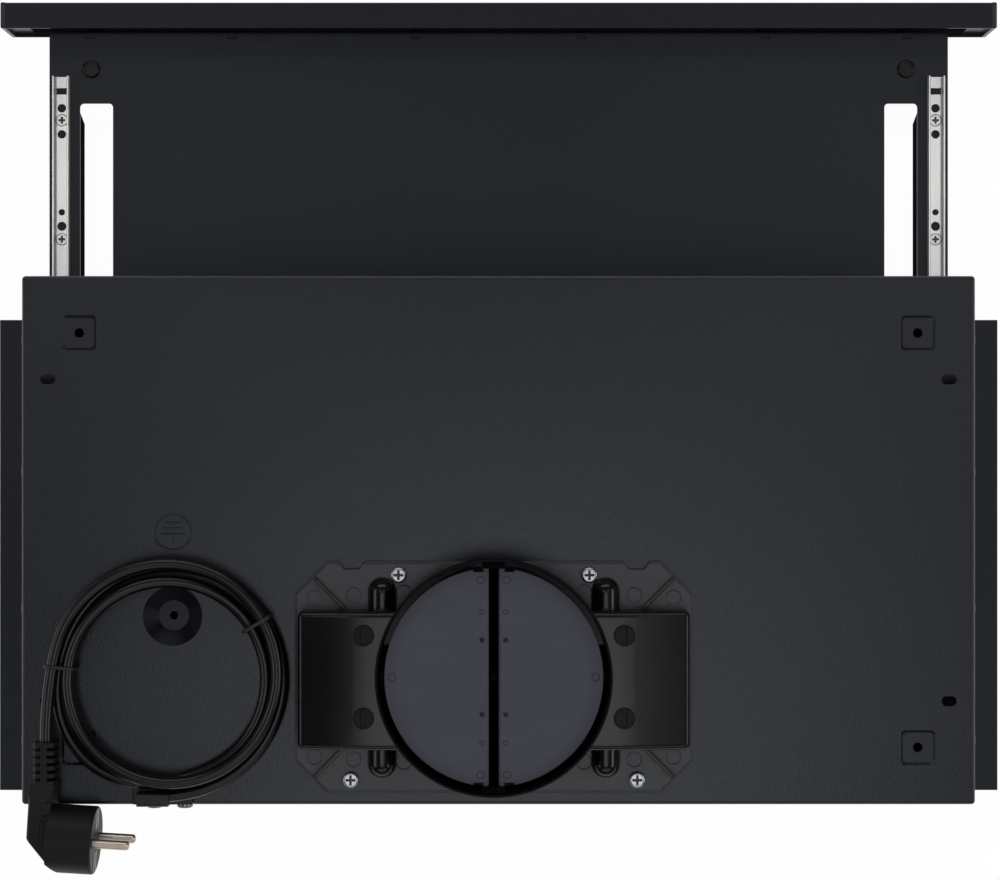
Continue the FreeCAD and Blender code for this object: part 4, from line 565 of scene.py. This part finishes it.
CORD_EXIT = coil_spot(0.0) + Vector((CORD_DIAMETER, 0.0, 0.0))
COIL_LAST = coil_spot(COIL_END)
TAIL_WAY = ((COIL_LAST - coil_spot(COIL_END - HEADING_STEP)) * Vector((1.0, 1.0, 0.0))).normalized()
TAIL_START = COIL_LAST + TAIL_WAY * CORD_DIAMETER
TAIL_LEAN = math.atan2(TAIL_WAY.x, TAIL_WAY.y)
TAIL_RUN = CASING_REAR - PLUG_ON_PANEL - TAIL_START.y
PLUG_ENTRY = TAIL_START + Vector((TAIL_RUN * math.tan(TAIL_LEAN / 2), TAIL_RUN, 0.0))


def tail_spot(share):
    """A point of the arc that turns the coil's last heading to straight back."""
    radius = TAIL_RUN / math.sin(TAIL_LEAN)
    angle = TAIL_LEAN * (1 - share)
    return PLUG_ENTRY + Vector((radius * (math.cos(angle) - 1), -radius * math.sin(angle), 0.0))


def strand_radius(turn):
    """Distance of the cord's middle line from the coil's centre, on the coil or on its tail."""
    if turn <= COIL_END:
        return coil_radius_and_level(turn)[0]
    spots = [COIL_LAST.lerp(TAIL_START, step / STRAIGHT_STEPS) for step in range(STRAIGHT_STEPS + 1)]
    spots += [tail_spot(step / TAIL_STEPS) for step in range(TAIL_STEPS + 1)]
    flat = [(spot.x - COIL_CENTRE[0], spot.y - COIL_CENTRE[1]) for spot in spots]
    wanted = 2 * math.pi * (turn % 1)
    return math.hypot(*min(flat, key=lambda p: abs(math.atan2(-p[0], p[1]) % (2 * math.pi) - wanted)))


# New pieces

def add_piece(name, shape, slot):
    """Adds a mesh or a curve that rides on the casing and takes a slot's finish."""
    shape.materials.append(finishes[slot])
    made = bpy.data.objects.new(name, shape)
    bpy.context.scene.collection.objects.link(made)
    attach(made, "casing")
    return made


def cord_curve():
    """The mains cord: one smooth line out of the clamp, round the coil and on to the plug."""
    swell = 1 / math.cos(math.pi / POINTS_PER_TURN)
    count = round(COIL_END * POINTS_PER_TURN)
    spots = [CORD_EXIT, CORD_EXIT - Vector((CORD_DIAMETER / 2, 0.0, 0.0))]
    spots += [coil_spot(COIL_END * number / count, swell) for number in range(count)]
    spots += [COIL_LAST, TAIL_START]
    spots += [tail_spot(step / TAIL_POINTS) for step in range(1, TAIL_POINTS + 1)]
    curve = bpy.data.curves.new("mains_cord", "CURVE")
    curve.dimensions = "3D"
    curve.bevel_depth = CORD_DIAMETER / 2
    curve.bevel_resolution = 6
    curve.resolution_u = 4
    line = curve.splines.new("NURBS")
    line.points.add(len(spots) - 1)
    for point, spot in zip(line.points, spots):
        point.co = (*spot, 1.0)
    line.order_u = 3
    line.use_endpoint_u = True
    return curve


def tie_loop(turn):
    """A thin tie round the strands that pass at one place of the coil."""
    reach = [strand_radius(turn + whole) for whole in range(TIE_STRANDS)]
    clear = CORD_DIAMETER / 2 + TIE_GAP
    near, far = min(reach) - clear, max(reach) + clear
    low = DECK_LEVEL + TIE_THICKNESS
    high = COIL_LEVEL + COIL_RISE + clear
    across, tall = far - near + TIE_THICKNESS, high - low + TIE_THICKNESS
    shape = bmesh.new()
    bmesh.ops.create_grid(shape, x_segments=1, y_segments=1, size=0.5,
                          matrix=Matrix.Diagonal((across, tall, 1.0, 1.0)))
    bmesh.ops.bevel(shape, geom=shape.verts[:], offset=CORD_DIAMETER * ROUNDED_SHARE, segments=8,
                    profile=0.5, affect="VERTICES", material=-1)
    bmesh.ops.delete(shape, geom=shape.faces[:], context="FACES_ONLY")
    band = bmesh.ops.extrude_edge_only(shape, edges=shape.edges[:])["geom"]
    bmesh.ops.translate(shape, verts=[v for v in band if isinstance(v, bmesh.types.BMVert)],
                        vec=(0.0, 0.0, TIE_WIDTH))
    bmesh.ops.recalc_face_normals(shape, faces=shape.faces)
    bmesh.ops.solidify(shape, geom=shape.faces[:], thickness=TIE_THICKNESS)
    rims = [e for e in shape.edges if e.calc_face_angle(0) > RIM_ANGLE]
    bmesh.ops.bevel(shape, geom=rims, offset=TIE_THICKNESS * ROUNDED_SHARE, segments=3, profile=0.5,
                    affect="EDGES", material=-1)
    bmesh.ops.translate(shape, verts=shape.verts, vec=(0.0, 0.0, -TIE_WIDTH / 2))
    upright = Matrix(((0, 0, 1, 0), (1, 0, 0, (near + far) / 2), (0, 1, 0, (low + high) / 2), (0, 0, 0, 1)))
    turned = Matrix.Translation((*COIL_CENTRE, 0.0)) @ Matrix.Rotation(2 * math.pi * turn, 4, "Z")
    bmesh.ops.transform(shape, matrix=turned @ upright, verts=shape.verts)
    return shape


def tie_mesh():
    """Both ties in one mesh."""
    bands = bmesh.new()
    for turn in TIE_TURNS:
        loop = tie_loop(turn)
        spare = bpy.data.meshes.new("tie_loop")
        loop.to_mesh(spare)
        loop.free()
        bands.from_mesh(spare)
        bpy.data.meshes.remove(spare)
    bmesh.ops.remove_doubles(bands, verts=bands.verts, dist=MERGE_DISTANCE)
    bmesh.ops.recalc_face_normals(bands, faces=bands.faces)
    mesh = bpy.data.meshes.new("cord_tie_bands")
    bands.to_mesh(mesh)
    bands.free()
    mesh.shade_smooth()
    mesh.set_sharp_from_angle(angle=SMOOTH_BELOW)
    return mesh


cord = add_piece("mains_cord", cord_curve(), "cord_black")
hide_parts("cord_coil", "cord_tail")
ties = add_piece("cord_tie_bands", tie_mesh(), "tie_black")
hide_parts("cord_ties")


# Floor, light and camera

def seen_directly(finish):
    """One for rays that show the backdrop: from the camera, off gloss and through glass."""
    rays = [finish.node("ShaderNodeLightPath", output=name)
            for name in ("Is Camera Ray", "Is Glossy Ray", "Is Transmission Ray")]
    return rays[0] + rays[1] + rays[2] > 0.5


def pale_floor():
    """A floor that looks white and keeps the hood's shadow."""
    finish = Finish("pale_floor")
    matt = finish.node("ShaderNodeBsdfDiffuse", inputs={"Color": (0.9, 0.9, 0.9, 1.0)})
    glow = finish.node("ShaderNodeEmission", inputs={"Color": (1.0, 1.0, 1.0, 1.0), "Strength": FLOOR_GLOW})
    blend = finish.node("ShaderNodeMixShader", inputs={0: seen_directly(finish) * FLOOR_GLOW_SHARE,
                                                       1: matt, 2: glow})
    finish.node("ShaderNodeOutputMaterial", inputs={"Surface": blend})
    shape = bmesh.new()
    bmesh.ops.create_grid(shape, x_segments=1, y_segments=1, size=FLOOR_HALF,
                          matrix=Matrix.Translation((0.0, 0.0, cad_box[0][2] - FLOOR_GAP)))
    mesh = bpy.data.meshes.new("floor")
    shape.to_mesh(mesh)
    shape.free()
    mesh.materials.append(finish.holder)
    floor = bpy.data.objects.new("floor", mesh)
    bpy.context.scene.collection.objects.link(floor)


def studio_world():
    """Faint light from all round."""
    bpy.context.scene.world = bpy.data.worlds.new("studio")
    nodes = Nodes(bpy.context.scene.world)
    soft = nodes.node("ShaderNodeBackground", inputs={"Color": (0.97, 0.985, 1.0, 1.0),
                                                      "Strength": WORLD_GLOW})
    nodes.node("ShaderNodeOutputWorld", inputs={"Surface": soft})


def softbox(name, place, target, size, power):
    """A rectangular lamp that faces its target."""
    lamp = bpy.data.lights.new(name, "AREA")
    lamp.shape = "RECTANGLE"
    lamp.size, lamp.size_y = size
    lamp.energy = power
    made = bpy.data.objects.new(name, lamp)
    made.location = place
    made.rotation_euler = (Vector(target) - Vector(place)).to_track_quat("-Z", "Y").to_euler()
    bpy.context.scene.collection.objects.link(made)


def photo_camera():
    """A camera placed as the photograph's was, straight above the hood."""
    camera_data = bpy.data.cameras.new("photo_camera")
    camera_data.sensor_width = CAMERA_SENSOR
    camera_data.lens = CAMERA_LENS
    camera = bpy.data.objects.new("photo_camera", camera_data)
    camera.location = CAMERA_PLACE
    camera.rotation_euler = CAMERA_TURN
    bpy.context.scene.collection.objects.link(camera)
    bpy.context.scene.camera = camera


pale_floor()
studio_world()
softbox("top_softbox", place=(0.0, 0.60, LAMP_LEVEL), target=(0.0, 0.60, LAMP_AIM),
        size=(1.0, 0.95), power=6.3)
softbox("drawer_softbox", place=(0.0, -0.5, LAMP_LEVEL), target=(0.0, -0.5, LAMP_AIM),
        size=(0.9, 0.5), power=0.5)
softbox("hump_softbox", place=(-0.78, 0.45, LAMP_LEVEL), target=(-0.5, 0.3, LAMP_AIM),
        size=(0.5, 0.7), power=0.66)
softbox("rear_softbox", place=(-0.2, 2.0, 1.7), target=CASING_MIDDLE, size=(2.6, 0.8), power=9.0)
softbox("right_softbox", place=(2.1, 0.2, 1.5), target=CASING_MIDDLE, size=(1.8, 0.7), power=10.0)
softbox("left_softbox", place=(-2.1, 0.2, 1.5), target=CASING_MIDDLE, size=(1.8, 0.7), power=13.0)
softbox("front_softbox", place=(0.1, -2.0, 1.6), target=HOOD_MIDDLE, size=(2.6, 0.6), power=14.0)
for side in (-1, 1):
    softbox("rail_softbox", place=(side * 0.8, -0.45, LAMP_LEVEL), target=(side * 0.5, -0.3, LAMP_AIM),
            size=(0.3, 0.46), power=1.45)
photo_camera()
bpy.context.scene.view_settings.view_transform = "Standard"
